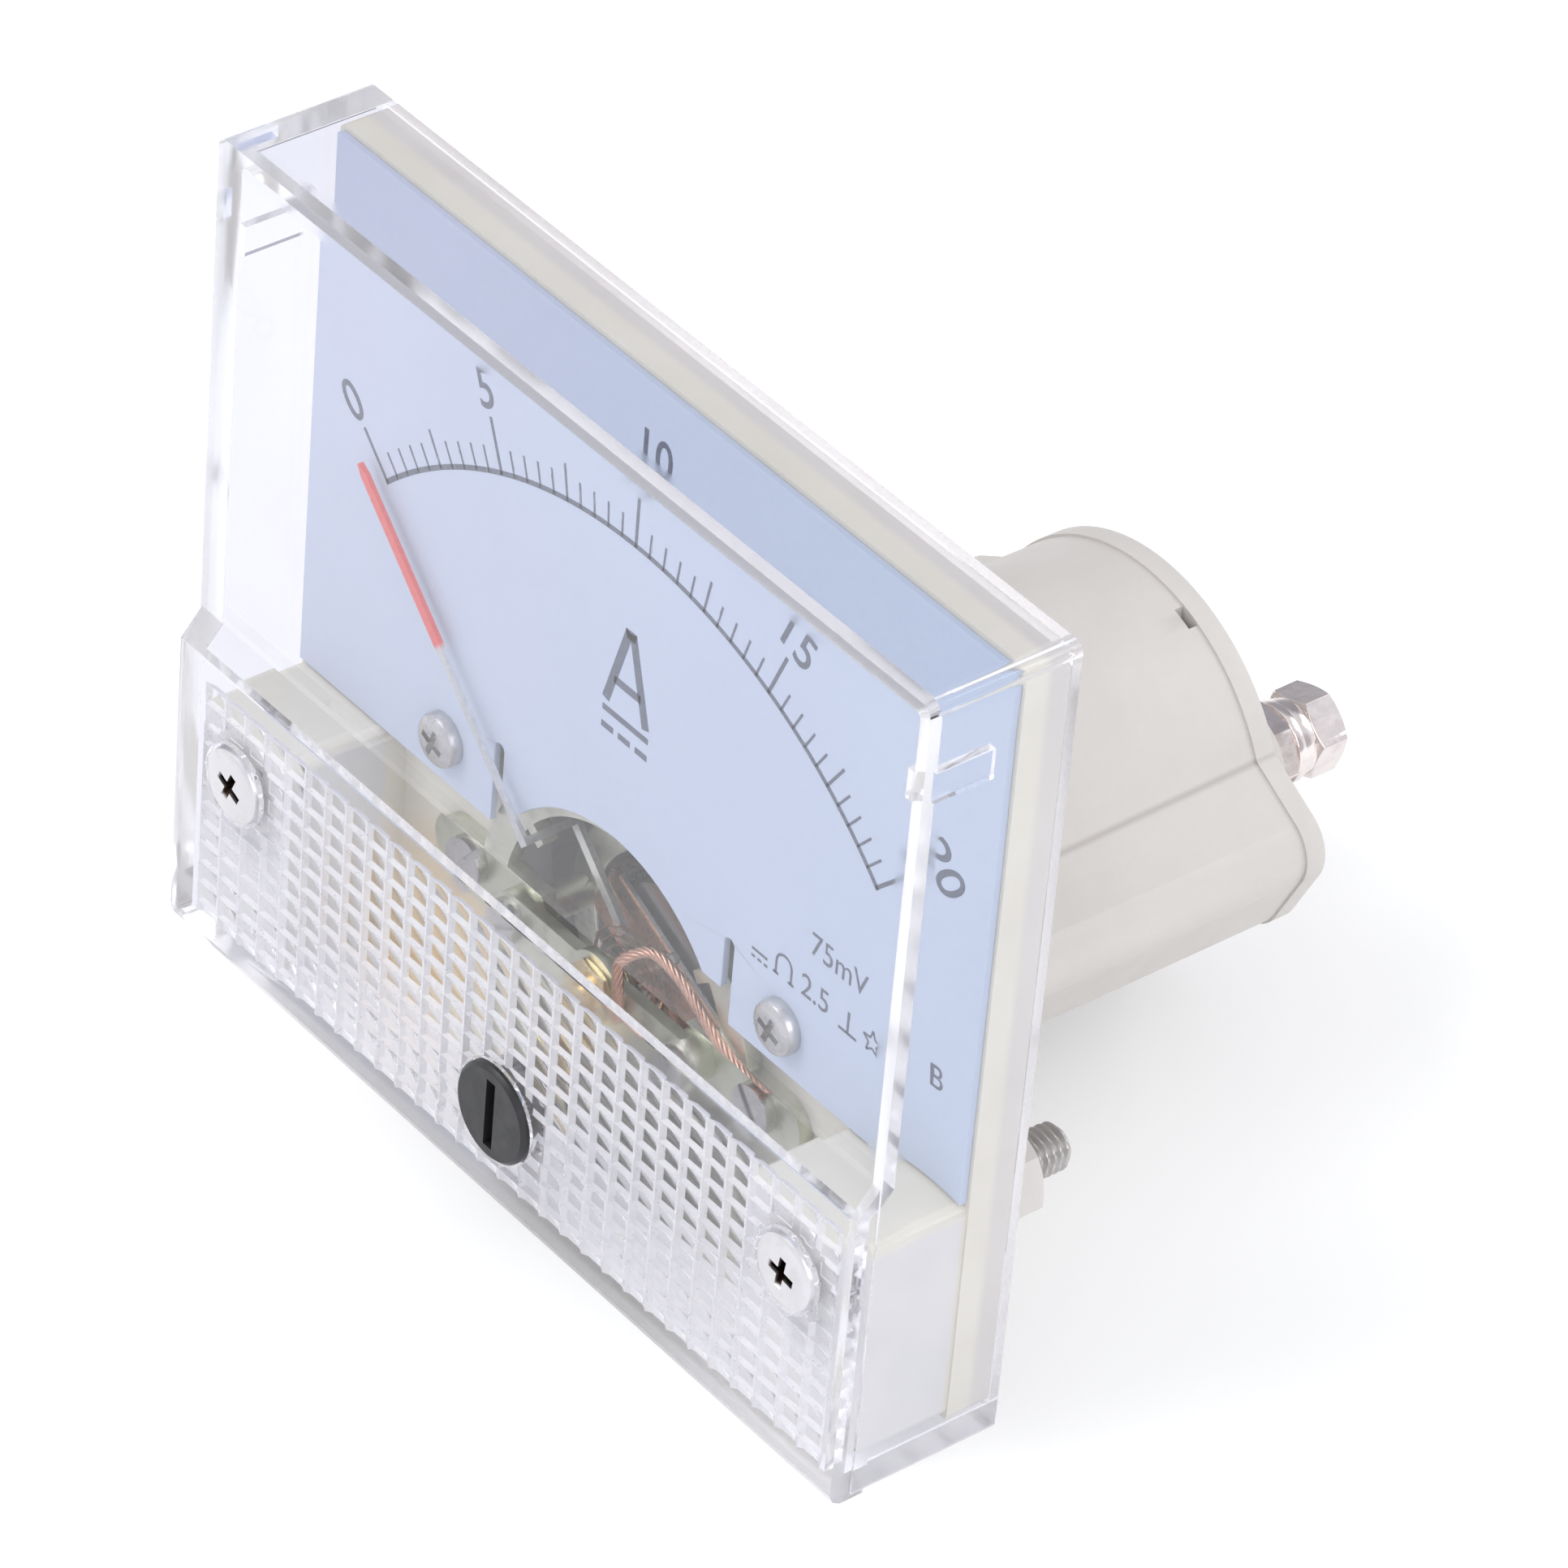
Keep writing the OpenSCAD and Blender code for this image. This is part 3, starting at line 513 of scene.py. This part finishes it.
def screw_steel():
    """Bright plated steel. The cross recess of the head is painted dark brown as painted shade."""
    m = metal("screw_steel", (0.74, 0.73, 0.75), (0.30, 0.44), 0.06, (1, 1, 1), 1500, 1.2e-5, (0.55, 0.50, 0.46), 0.3)
    nt = m.node_tree
    b = next(n for n in nt.nodes if n.type == "BSDF_PRINCIPLED")
    old = b.inputs["Base Color"].links[0].from_socket
    sep = nt.nodes.new("ShaderNodeSeparateXYZ")
    nt.links.new(coords(nt), sep.inputs[0])
    ax = nt.nodes.new("ShaderNodeMath")
    ax.operation = "ABSOLUTE"
    nt.links.new(sep.outputs["X"], ax.inputs[0])
    com = nt.nodes.new("ShaderNodeCombineXYZ")
    nt.links.new(ax.outputs[0], com.inputs[0])
    nt.links.new(sep.outputs["Z"], com.inputs[2])
    dst = nt.nodes.new("ShaderNodeVectorMath")
    dst.operation = "DISTANCE"
    dst.inputs[1].default_value = (SX * MM, 0, 0)
    nt.links.new(com.outputs[0], dst.inputs[0])
    near = spread(nt, dst.outputs["Value"], 1.0, 0.0, 1.5 * MM, 1.62 * MM)
    deep = spread(nt, sep.outputs["Y"], 0.0, 1.0, (HEAD_Y - 1.58) * MM, (HEAD_Y - 1.38) * MM)
    head = spread(nt, sep.outputs["Y"], 1.0, 0.0, (HEAD_Y - 0.2) * MM, (HEAD_Y - 0.1) * MM)
    both = nt.nodes.new("ShaderNodeMath")
    both.operation = "MULTIPLY"
    nt.links.new(near, both.inputs[0])
    nt.links.new(deep, both.inputs[1])
    # painted shade: the cross recess of the head is darkened where shade falls in it
    recess_shade = nt.nodes.new("ShaderNodeMath")
    recess_shade.operation = "MULTIPLY"
    nt.links.new(both.outputs[0], recess_shade.inputs[0])
    nt.links.new(head, recess_shade.inputs[1])
    shaft = spread(nt, sep.outputs["Y"], 0.0, 1.0, 2.0 * MM, 3.0 * MM)
    old = mix(nt, shaft, old, (0.54, 0.525, 0.515))
    nt.links.new(mix(nt, recess_shade.outputs[0], old, (0.085, 0.055, 0.042)), b.inputs["Base Color"])
    return m


def copper(name, col, coat):
    m = metal(name, col, (0.24, 0.40), 0.22, (1, 1, 1), 2600, 1.2e-5, scaled(col, 0.5), 0.5)
    b = next(n for n in m.node_tree.nodes if n.type == "BSDF_PRINCIPLED")
    b.inputs["Coat Weight"].default_value = coat
    b.inputs["Coat Roughness"].default_value = 0.15
    return m


M_COPPER = copper("enamelled_copper", (0.58, 0.30, 0.17), 0.8)
M_SCREW = screw_steel()
M_STRAND = copper("bare_copper", (0.64, 0.37, 0.265), 0.0)


def dial_paint():
    m, nt, b = new_mat("dial_paint")
    v = coords(nt)
    big = noise(nt, v, 40, 3, 0.5)
    c = ramp(nt, big, [(0.3, (0.470, 0.530, 0.655)), (0.7, (0.500, 0.535, 0.675))])
    sep = nt.nodes.new("ShaderNodeSeparateXYZ")
    nt.links.new(v, sep.inputs[0])
    # painted shade: the dial turns bluer and darker towards the right, standing in for light passing through more of
    # the clear cover
    c = mix(nt, spread(nt, sep.outputs["X"], 0.0, 0.8, -28 * MM, 30 * MM), c, (0.440, 0.525, 0.660))
    grain = noise(nt, v, 3500, 2, 0.6)
    c = mix(nt, spread(nt, grain, 0.0, 0.14, 0.35, 0.7), c, (0.56, 0.60, 0.71))
    nt.links.new(c, b.inputs["Base Color"])
    nt.links.new(spread(nt, noise(nt, v, 900, 3), 0.48, 0.62), b.inputs["Roughness"])
    bump(nt, b, noise(nt, v, 6000, 2, 0.6), 0.25, 6e-6)
    b.inputs["Specular IOR Level"].default_value = 0.3
    return m


def ink(name, col):
    m, nt, b = new_mat(name)
    v = coords(nt)
    g = noise(nt, v, 5200, 3, 0.6)
    c = ramp(nt, g, [(0.30, scaled(col, 0.75)), (0.55, col), (0.80, scaled(col, 1.7))])
    nt.links.new(c, b.inputs["Base Color"])
    nt.links.new(spread(nt, noise(nt, v, 1800, 2), 0.42, 0.60), b.inputs["Roughness"])
    bump(nt, b, g, 0.2, 4e-6)
    return m


M_DIAL = dial_paint()
M_INK = ink("dial_ink", (0.100, 0.115, 0.165))


def pointer_paint():
    """Bare aluminium near the pivot and red lacquer over the outer third."""
    m, nt, b = new_mat("pointer_paint")
    v = coords(nt)
    sub = nt.nodes.new("ShaderNodeVectorMath")
    sub.operation = "SUBTRACT"
    sub.inputs[1].default_value = (0, 0, PZ * MM)
    nt.links.new(v, sub.inputs[0])
    flat = nt.nodes.new("ShaderNodeVectorMath")
    flat.operation = "MULTIPLY"
    flat.inputs[1].default_value = (1, 0, 1)
    nt.links.new(sub.outputs[0], flat.inputs[0])
    ln = nt.nodes.new("ShaderNodeVectorMath")
    ln.operation = "LENGTH"
    nt.links.new(flat.outputs[0], ln.inputs[0])
    red = spread(nt, ln.outputs["Value"], 0.0, 1.0, 21.7 * MM, 22.1 * MM)
    fine = noise(nt, v, 2600, 3, 0.6)
    lac = ramp(nt, fine, [(0.3, (0.62, 0.080, 0.075)), (0.7, (0.72, 0.12, 0.11))])
    bare = ramp(nt, fine, [(0.3, (0.66, 0.67, 0.66)), (0.7, (0.80, 0.80, 0.79))])
    nt.links.new(mix(nt, red, bare, lac), b.inputs["Base Color"])
    inv = spread(nt, ln.outputs["Value"], 1.0, 0.0, 21.7 * MM, 22.1 * MM)
    nt.links.new(inv, b.inputs["Metallic"])
    nt.links.new(spread(nt, noise(nt, v, 1500, 2), 0.30, 0.46), b.inputs["Roughness"])
    bump(nt, b, fine, 0.2, 5e-6)
    return m


M_POINTER = pointer_paint()

BY_SLOT = {
    "housing": M_HOUSE, "clear_cover": M_CLEAR, "dial": M_DIAL, "steel": M_STEEL, "nickel": M_NICKEL,
    "nylon": M_NYLON, "iron": M_IRON, "magnet": M_MAGNET, "frame_alloy": M_ALLOY, "brass": M_BRASS,
    "aluminium": M_ALU, "copper": M_COPPER, "bronze": M_BRONZE, "black_plastic": M_BLACK,
    "pointer_paint": M_POINTER, "bobbin": M_BOBBIN, "red_insulation": M_RED, "black_insulation": M_BLK,
}
SLOT_OF = {s["node"]: s["material_slot"] for s in frame["record"]["subparts"]}


def dress(ob, mat):
    ob.data.materials.clear()
    ob.data.materials.append(mat)
    return ob


for name, ob in NODES.items():
    dress(ob, BY_SLOT[SLOT_OF[name]])


def piece(ob, mat, slot, body="case", *replaced):
    dress(ob, mat)
    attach(ob, body)
    if replaced:
        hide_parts(*replaced)
    return ob


# Edges that were moulded or tumbled are slightly round
for name, w in (("base_housing", 0.18), ("rear_cap", 0.22), ("dial_plate", 0.05), ("mounting_washers", 0.15),
                ("mounting_nuts", 0.10), ("terminal_nuts", 0.07), ("terminal_lock_nuts", 0.07),
                ("terminal_flat_washers", 0.06), ("terminal_spring_washers", 0.08), ("movement_frame", 0.12),
                ("yoke_ring", 0.2), ("core_magnet", 0.2), ("front_bridge", 0.1), ("rear_bridge", 0.1),
                ("zero_adjuster", 0.07), ("zero_lever", 0.05), ("jewel_lock_nuts", 0.05), ("dial_screws", 0.05),
                ("movement_screws", 0.06), ("front_bridge_screws", 0.06), ("rear_bridge_screws", 0.06)):
    bevel(NODES[name], w)


# ---------------------------------------------------------------- clear cover
def make_cover():
    src = NODES["front_cover"]
    me = src.data.copy()
    cover = link(bpy.data.objects.new("clear_front_cover", me))
    tidy(cover, 2e-6)
    # pattern inside the lower panel: flat-topped pads between crossed grooves
    px, pz = 2.0, 1.49
    x0, z0 = -30.0, -12.8
    nx, nz = 30, 12
    gx, gz = 0.40, 0.30
    back, groove, peak = LY + 0.9, LY + WALL + 0.05, LY + WALL + 0.55
    verts, faces = [], []
    for j in range(nz + 1):
        for i in range(nx + 1):
            verts.append((x0 + i * px, groove, z0 + j * pz))
    w = nx + 1
    for j in range(nz):
        for i in range(nx):
            p = len(verts)
            xa, xb, za, zb = x0 + i * px + gx, x0 + (i + 1) * px - gx, z0 + j * pz + gz, z0 + (j + 1) * pz - gz
            verts += [(xa, peak, za), (xb, peak, za), (xb, peak, zb), (xa, peak, zb)]
            a, b, c, d = j * w + i, j * w + i + 1, (j + 1) * w + i + 1, (j + 1) * w + i
            faces += [(p, p + 1, p + 2, p + 3), (a, b, p + 1, p), (b, c, p + 2, p + 1), (c, d, p + 3, p + 2), (d, a, p, p + 3)]
    lo = len(verts)
    for cx, cz in ((0, 0), (nx, 0), (nx, nz), (0, nz)):
        verts.append((x0 + cx * px, back, z0 + cz * pz))
    faces.append((lo, lo + 1, lo + 2, lo + 3))
    faces.append(tuple([i for i in range(0, nx + 1)]) + (lo + 1, lo))
    faces.append(tuple([nz * w + i for i in range(nx, -1, -1)]) + (lo + 3, lo + 2))
    faces.append(tuple([j * w for j in range(nz, -1, -1)]) + (lo, lo + 3))
    faces.append(tuple([j * w + nx for j in range(0, nz + 1)]) + (lo + 2, lo + 1))
    teeth = tidy(obj_from("teeth", verts, faces))
    boolean(cover, teeth, "UNION")
    for x, z, r in ((-SX, 0, 1.7), (SX, 0, 1.7), (0, ADJ_Z, 2.1)):
        cut = lathe("cut", [(LY + 0.2 if r < 2 else LY + 0.4, r), (-8.6, r)], 48, x, z)
        boolean(cover, cut, "DIFFERENCE")
    tidy(cover, 1e-6)
    bevel(cover, 0.22, 50, 2, False)
    bake_mods(cover)
    shade(cover, 20)
    return cover


COVER = piece(make_cover(), M_CLEAR, "clear_cover", "case", "front_cover")
COVER.data.materials.append(M_GROOVE)
for poly in COVER.data.polygons:
    c, n = poly.center / MM, poly.normal
    if LY + WALL + 0.04 < c.y < LY + WALL + 0.54 and abs(c.x) < 30 and c.z < 5.6 and 0.25 < n.y < 0.95:
        poly.material_index = 1
COVER.visible_shadow = False
COVER.visible_diffuse = False


# ---------------------------------------------------------------- dial print
def flat_piece(name, polys, y=DIAL_Y - 0.012, t=0.02, mat=M_INK):
    """Printed areas: polygons in X and Z, given the thickness of a coat of ink."""
    verts, faces = [], []
    for poly in polys:
        n, b = len(poly), len(verts)
        for (x, z) in poly:
            verts.append((x, y, z))
        for (x, z) in poly:
            verts.append((x, y + t, z))
        faces.append(tuple(range(b, b + n)))
        faces.append(tuple(range(b + 2 * n - 1, b + n - 1, -1)))
        for k in range(n):
            faces.append((b + k, b + n + k, b + n + (k + 1) % n, b + (k + 1) % n))
    ob = obj_from(name, verts, faces)
    bm = bmesh.new()
    bm.from_mesh(ob.data)
    bmesh.ops.recalc_face_normals(bm, faces=bm.faces)
    bm.to_mesh(ob.data)
    bm.free()
    return piece(ob, mat, "dial", "case")


def bar(p, q, w):
    (x0, z0), (x1, z1) = p, q
    d = math.hypot(x1 - x0, z1 - z0)
    nx, nz = -(z1 - z0) / d * w / 2, (x1 - x0) / d * w / 2
    return [(x0 + nx, z0 + nz), (x0 - nx, z0 - nz), (x1 - nx, z1 - nz), (x1 + nx, z1 + nz)]


def polar(r, a):
    """Point of the scale at a degrees right of straight up."""
    a = math.radians(a)
    return (r * math.sin(a), PZ + r * math.cos(a))


R0 = 31.87
line = []
K = 90
outer = [polar(R0 + 0.17, -45.25 + 90.5 * k / K) for k in range(K + 1)]
inner = [polar(R0 - 0.17, -45.25 + 90.5 * k / K) for k in range(K + 1)]
for k in range(K):
    line.append([outer[k], outer[k + 1], inner[k + 1], inner[k]])
flat_piece("scale_arc", line)
small, middle, large = [], [], []
for k in range(41):
    a = -45 + 90 * k / 40
    if k % 10 == 0:
        large.append(bar(polar(R0 - 0.1, a), polar(R0 + 3.4, a), 0.26))
    elif k % 5 == 0:
        middle.append(bar(polar(R0 - 0.1, a), polar(R0 + 2.3, a), 0.20))
    else:
        small.append(bar(polar(R0 - 0.1, a), polar(R0 + 1.55, a), 0.17))
flat_piece("scale_marks_large", large)
flat_piece("scale_marks_middle", middle)
flat_piece("scale_marks_small", small)


def lettering(name, text, size, x, z, turn=0.0, wide=1.0, anchor="CENTER", thick=0.0):
    """Figures printed on the dial, size being the height of a capital, in millimetres."""
    cu = bpy.data.curves.new(name, "FONT")
    cu.body = text
    cu.align_x = anchor
    cu.align_y = "CENTER"
    cu.size = size / 0.69
    cu.extrude = 0.01
    cu.offset = thick
    cu.resolution_u = 6
    tmp = link(bpy.data.objects.new(name, cu))
    bpy.context.view_layer.update()
    me = bpy.data.meshes.new_from_object(tmp.evaluated_get(bpy.context.evaluated_depsgraph_get()))
    bpy.data.objects.remove(tmp)
    a = math.radians(turn)
    for v in me.vertices:
        px_, pz_ = v.co.x * wide, v.co.y
        v.co = Vector(((x + px_ * math.cos(a) + pz_ * math.sin(a)) * MM, (DIAL_Y - 0.002 - v.co.z) * MM,
                       (z - px_ * math.sin(a) + pz_ * math.cos(a)) * MM))
    ob = link(bpy.data.objects.new(name, me))
    bm = bmesh.new()
    bm.from_mesh(me)
    bmesh.ops.remove_doubles(bm, verts=bm.verts, dist=1e-8)
    bmesh.ops.recalc_face_normals(bm, faces=bm.faces)
    bm.to_mesh(me)
    bm.free()
    return piece(ob, M_INK, "dial", "case")


for k, word in enumerate(("0", "5", "10", "15", "20")):
    a = -45 + 22.5 * k
    x, z = polar(R0 + 5.0, a)
    lettering("figure_" + word, word, 2.5, x, z, a, 0.92, thick=0.03)

# the unit, with the sign for direct current under it
flat_piece("unit_letter", [
    bar((-1.62, 19.2), (0.05, 24.9), 0.66), bar((2.05, 19.2), (0.38, 24.9), 0.66), bar((-1.0, 20.95), (1.45, 20.95), 0.55),
    [(-0.30, 25.02), (0.73, 25.02), (0.60, 24.4), (-0.17, 24.4)]])
flat_piece("direct_current_sign", [bar((-1.85, 18.55), (2.35, 18.55), 0.42)]
           + [bar((-1.85 + 1.55 * k, 17.35), (-0.75 + 1.55 * k, 17.35), 0.42) for k in range(3)])

# small marks at the right: range, class and position of use
lettering("range_note", "75mV", 1.55, 20.1, 14.35, 0, 0.95)
lettering("class_note", "2.5", 1.55, 18.35, 11.1, 0, 0.95)
lettering("group_note", "B", 1.55, 26.8, 11.1, 0, 0.95)
marks = [bar((12.7, 10.75), (14.1, 10.75), 0.18)] + [bar((12.7 + 0.55 * k, 10.25), (13.05 + 0.55 * k, 10.25), 0.18) for k in range(3)]
marks += [bar((20.5, 10.35), (22.1, 10.35), 0.2), bar((21.3, 10.35), (21.3, 11.85), 0.2)]
mag = [(15.55 + 0.68 * math.cos(math.radians(t)), 11.3 + 0.68 * math.sin(math.radians(t))) for t in range(0, 181, 20)]
marks += [bar(mag[k], mag[k + 1], 0.18) for k in range(len(mag) - 1)]
marks += [bar((14.87, 11.35), (14.87, 10.35), 0.18), bar((16.23, 11.35), (16.23, 10.35), 0.18),
          bar((14.62, 10.4), (15.12, 10.4), 0.18), bar((15.98, 10.4), (16.48, 10.4), 0.18)]
star = [(23.45 + (0.85 if k % 2 == 0 else 0.36) * math.sin(math.radians(36 * k)),
         11.1 + (0.85 if k % 2 == 0 else 0.36) * math.cos(math.radians(36 * k))) for k in range(10)]
marks += [bar(star[k], star[(k + 1) % 10], 0.15) for k in range(10)]
flat_piece("use_marks", marks)


# ---------------------------------------------------------------- screws
def cross_cutter(y_front, y_deep, half, x, z, turn):
    """Cross recess, tapering inwards."""
    parts = []
    for a in (0, 90):
        hw, hw2, t, t2 = half, half * 0.42, 0.30, 0.20
        vs = [(-hw, y_front, -t), (hw, y_front, -t), (hw, y_front, t), (-hw, y_front, t),
              (-hw2, y_deep, -t2), (hw2, y_deep, -t2), (hw2, y_deep, t2), (-hw2, y_deep, t2)]
        r = Matrix.Rotation(math.radians(a + turn), 3, "Y")
        vs = [tuple(r @ Vector(v) + Vector((x, 0, z))) for v in vs]
        fs = [(0, 1, 2, 3), (7, 6, 5, 4), (0, 4, 5, 1), (1, 5, 6, 2), (2, 6, 7, 3), (3, 7, 4, 0)]
        parts.append(tidy(obj_from("c", vs, fs)))
    return boolean(parts[0], parts[1], "UNION")


screws = []
for sgn, turn in ((-1, 24), (1, 8)):
    x = sgn * SX
    r, h, s = 2.5, 1.6, HEAD_Y
    prof = [(s, 1.3), (s, r), (s - 0.50 * h, r), (s - 0.70 * h, r * 0.985), (s - 0.85 * h, r * 0.95),
            (s - 0.94 * h, r * 0.88), (s - 0.985 * h, r * 0.74), (s - h, r * 0.5), (s - h * 1.001, 0.02)]
    head = lathe("head", prof, 64, x, 0)
    boolean(head, cross_cutter(s - h - 0.3, s - 0.45, 1.25, x, 0, turn), "DIFFERENCE")
    shade(head, 30)
    plain = lathe("shank", [(s - 0.01, 1.33), (0.4, 1.33)], 40, x, 0)
    shade(plain, 30)
    rod = thread("rod", 1.5, 0.29, 0.5, 0.4, 8.0, x, 0, 40, 0.4, 0.4)
    shade(rod, 40)
    screws += [head, plain, rod]
piece(join("case_screw_pair", *screws), M_SCREW, "steel", "case", "case_screws")

studs = []
for sgn in (-1, 1):
    x = sgn * 7.0
    foot = lathe("foot", [(33.5, 2.35), (33.62, 2.6), (34.7, 2.6), (34.8, 2.5)], 48, x, 2.5)
    shade(foot, 30)
    rod = thread("rod", 1.5, 0.29, 0.5, 34.8, 45.0, x, 2.5, 40, 0.4)
    shade(rod, 40)
    studs += [foot, rod]
piece(join("terminal_stud_pair", *studs), M_NICKEL, "nickel", "case", "terminal_studs")


# ---------------------------------------------------------------- coil and leads
def winding():
    """Rounded rectangular winding with its turns showing as fine ridges."""
    ca = math.radians(25)
    du = Vector((math.cos(ca), 0, -math.sin(ca)))
    dw = Vector((math.sin(ca), 0, math.cos(ca)))
    cx, y0, y1, rc = 5.875, 0.325, 12.675, 1.1
    path, side = [], []
    corners = [(cx - rc, y0 + rc, -90), (cx - rc, y1 - rc, 0), (-cx + rc, y1 - rc, 90), (-cx + rc, y0 + rc, 180)]
    for (u, y, a0) in corners:
        for k in range(9):
            a = math.radians(a0 + 90 * k / 8)
            path.append((u + rc * math.cos(a), y + rc * math.sin(a)))
            side.append((math.cos(a), math.sin(a)))
    half_w, half_t, turns = 1.45, 0.40, 13
    prof = []
    for k in range(turns * 4 + 1):
        w = -half_w + 2 * half_w * k / (turns * 4)
        prof.append((half_t + 0.025 * math.cos(2 * math.pi * k / 4), w))
    for k in range(turns * 4, -1, -1):
        w = -half_w + 2 * half_w * k / (turns * 4)
        prof.append((-half_t - 0.025 * math.cos(2 * math.pi * k / 4), w))
    verts, faces, n = [], [], len(prof)
    for (u, y), (su, sy) in zip(path, side):
        for d, w in prof:
            p = du * (u + su * d) + dw * w
            verts.append((p.x, y + sy * d, PZ + p.z))
    m = len(path)
    for i in range(m):
        for k in range(n):
            a, b = i * n + k, i * n + (k + 1) % n
            c, d = ((i + 1) % m) * n + (k + 1) % n, ((i + 1) % m) * n + k
            faces.append((a, b, c, d))
    ob = tidy(obj_from("coil_winding", verts, faces))
    return shade(ob, 60)


piece(winding(), M_COPPER, "copper", "moving_element", "moving_coil")


def stranded(name, route, r, strands, pitch, steps, mat, slot, node, ref):
    """Bare wires laid round each other along a route."""
    mid = curve_through(route, steps)
    fr = frames_along(mid, ref=ref)
    length, s = 0.0, [0.0]
    for i in range(1, len(mid)):
        length += (mid[i] - mid[i - 1]).length
        s.append(length)
    rs = r * 0.40
    obs = [tube("s", mid, rs * 0.9, 8, ref)]
    for j in range(strands):
        pts = []
        for p, (t, u, v), d in zip(mid, fr, s):
            a = 2 * math.pi * (j / strands + d / pitch)
            pts.append(p + u * ((r - rs) * math.cos(a)) + v * ((r - rs) * math.sin(a)))
        obs.append(tube("s", pts, rs, 8, ref))
    return piece(join(name, *obs), mat, slot, "case", node)


stranded("stranded_front_lead",
         [(2.75, -4.7, -0.9), (2.9, -5.0, 0.9), (2.7, -4.8, 3.2), (4.4, -3.95, 4.9), (6.6, -3.6, 4.4),
          (8.4, -3.48, 3.3), (10.3, -3.4, 2.1), (12.4, -3.32, 1.4), (14.8, -3.27, 1.15)],
         0.36, 6, 3.4, 10, M_STRAND, "copper", "front_lead", Vector((0, 0.3, 1)))


# ---------------------------------------------------------------- stage
floor_z = BOT * MM - 0.0002
bm = bmesh.new()
bmesh.ops.create_grid(bm, x_segments=24, y_segments=24, size=2.2)
me = bpy.data.meshes.new("floor")
bm.to_mesh(me)
bm.free()
floor = link(bpy.data.objects.new("floor", me))
floor.location = (0, 0, floor_z)
fm, fnt, fb = new_mat("floor_paper")
fv = coords(fnt)
fnt.links.new(ramp(fnt, noise(fnt, fv, 6, 3), [(0.3, (0.80, 0.80, 0.80)), (0.7, (0.815, 0.815, 0.815))]), fb.inputs["Base Color"])
fb.inputs["Roughness"].default_value = 0.9
fb.inputs["Emission Color"].default_value = (1, 1, 1, 1)
fb.inputs["Emission Strength"].default_value = 0.20
fb.inputs["Specular IOR Level"].default_value = 0.1
dress(floor, fm)

world = bpy.data.worlds.new("studio")
scene.world = world
world.use_nodes = True
wn = world.node_tree
wn.nodes.clear()
wo = wn.nodes.new("ShaderNodeOutputWorld")
bg = wn.nodes.new("ShaderNodeBackground")
wn.links.new(bg.outputs[0], wo.inputs[0])
gtc = wn.nodes.new("ShaderNodeTexCoord")
sep = wn.nodes.new("ShaderNodeSeparateXYZ")
wn.links.new(gtc.outputs["Generated"], sep.inputs[0])
sky = ramp(wn, spread(wn, sep.outputs["Z"], 0.0, 1.0, -0.2, 1.0),
           [(0.0, (1.0, 1.0, 1.0)), (0.35, (0.93, 0.94, 0.97)), (0.7, (0.80, 0.81, 0.86)), (1.0, (0.86, 0.87, 0.90))])
dot = wn.nodes.new("ShaderNodeVectorMath")
dot.operation = "DOT_PRODUCT"
dot.inputs[1].default_value = (-0.55, 0.62, 0.56)      # a darker corner of the room, above and behind
wn.links.new(gtc.outputs["Generated"], dot.inputs[0])
corner = spread(wn, dot.outputs["Value"], 0.0, 0.75, 0.80, 0.93)
dot2 = wn.nodes.new("ShaderNodeVectorMath")
dot2.operation = "DOT_PRODUCT"
dot2.inputs[1].default_value = (0.93, 0.30, 0.20)      # and one low at the right
wn.links.new(gtc.outputs["Generated"], dot2.inputs[0])
corner2 = spread(wn, dot2.outputs["Value"], 0.0, 0.6, 0.88, 0.96)
sky = mix(wn, corner, sky, (0.26, 0.26, 0.30))
sky = mix(wn, corner2, sky, (0.30, 0.28, 0.29))
wn.links.new(sky, bg.inputs["Color"])
bg.inputs["Strength"].default_value = 0.95


def area(name, loc, target, size, power, col=(1, 1, 1), sy=None):
    li = bpy.data.lights.new(name, "AREA")
    li.shape = "RECTANGLE"
    li.size = size
    li.size_y = sy or size
    li.energy = power
    li.color = col
    ob = link(bpy.data.objects.new(name, li))
    ob.location = loc
    ob.rotation_euler = (Vector(target) - Vector(loc)).to_track_quat("-Z", "Y").to_euler()
    return ob


area("key", (-0.35, -0.55, 0.75), (0, 0, 0.01), 0.55, 3.6, (1.0, 0.99, 0.98))
area("fill", (0.75, -0.10, 0.45), (0, 0.01, 0.01), 0.5, 2.2, (0.98, 0.99, 1.0))
area("back", (0.25, 0.75, 0.55), (0, 0.02, 0.01), 0.5, 1.6)

# ---------------------------------------------------------------- camera
cam = bpy.data.cameras.new("camera")
cam.sensor_fit = "HORIZONTAL"
cam.sensor_width = 36.0
cam.lens = 207.1586
cam.clip_start = 0.01
cam.clip_end = 20.0
co = link(bpy.data.objects.new("camera", cam))
right = Vector((0.620874, 0.780649, 0.071436))
up = Vector((-0.514034, 0.336630, 0.788955))
ahead = Vector((-0.591849, 0.526562, -0.610285))
rot = Matrix((right, up, -ahead)).transposed()
co.matrix_world = Matrix.Translation((0.309276, -0.267039, 0.327604)) @ rot.to_4x4()
scene.camera = co

scene.view_settings.view_transform = "Standard"
scene.view_settings.look = "None"
scene.cycles.max_bounces = 24
scene.cycles.glossy_bounces = 20
scene.cycles.transmission_bounces = 24
scene.cycles.diffuse_bounces = 2
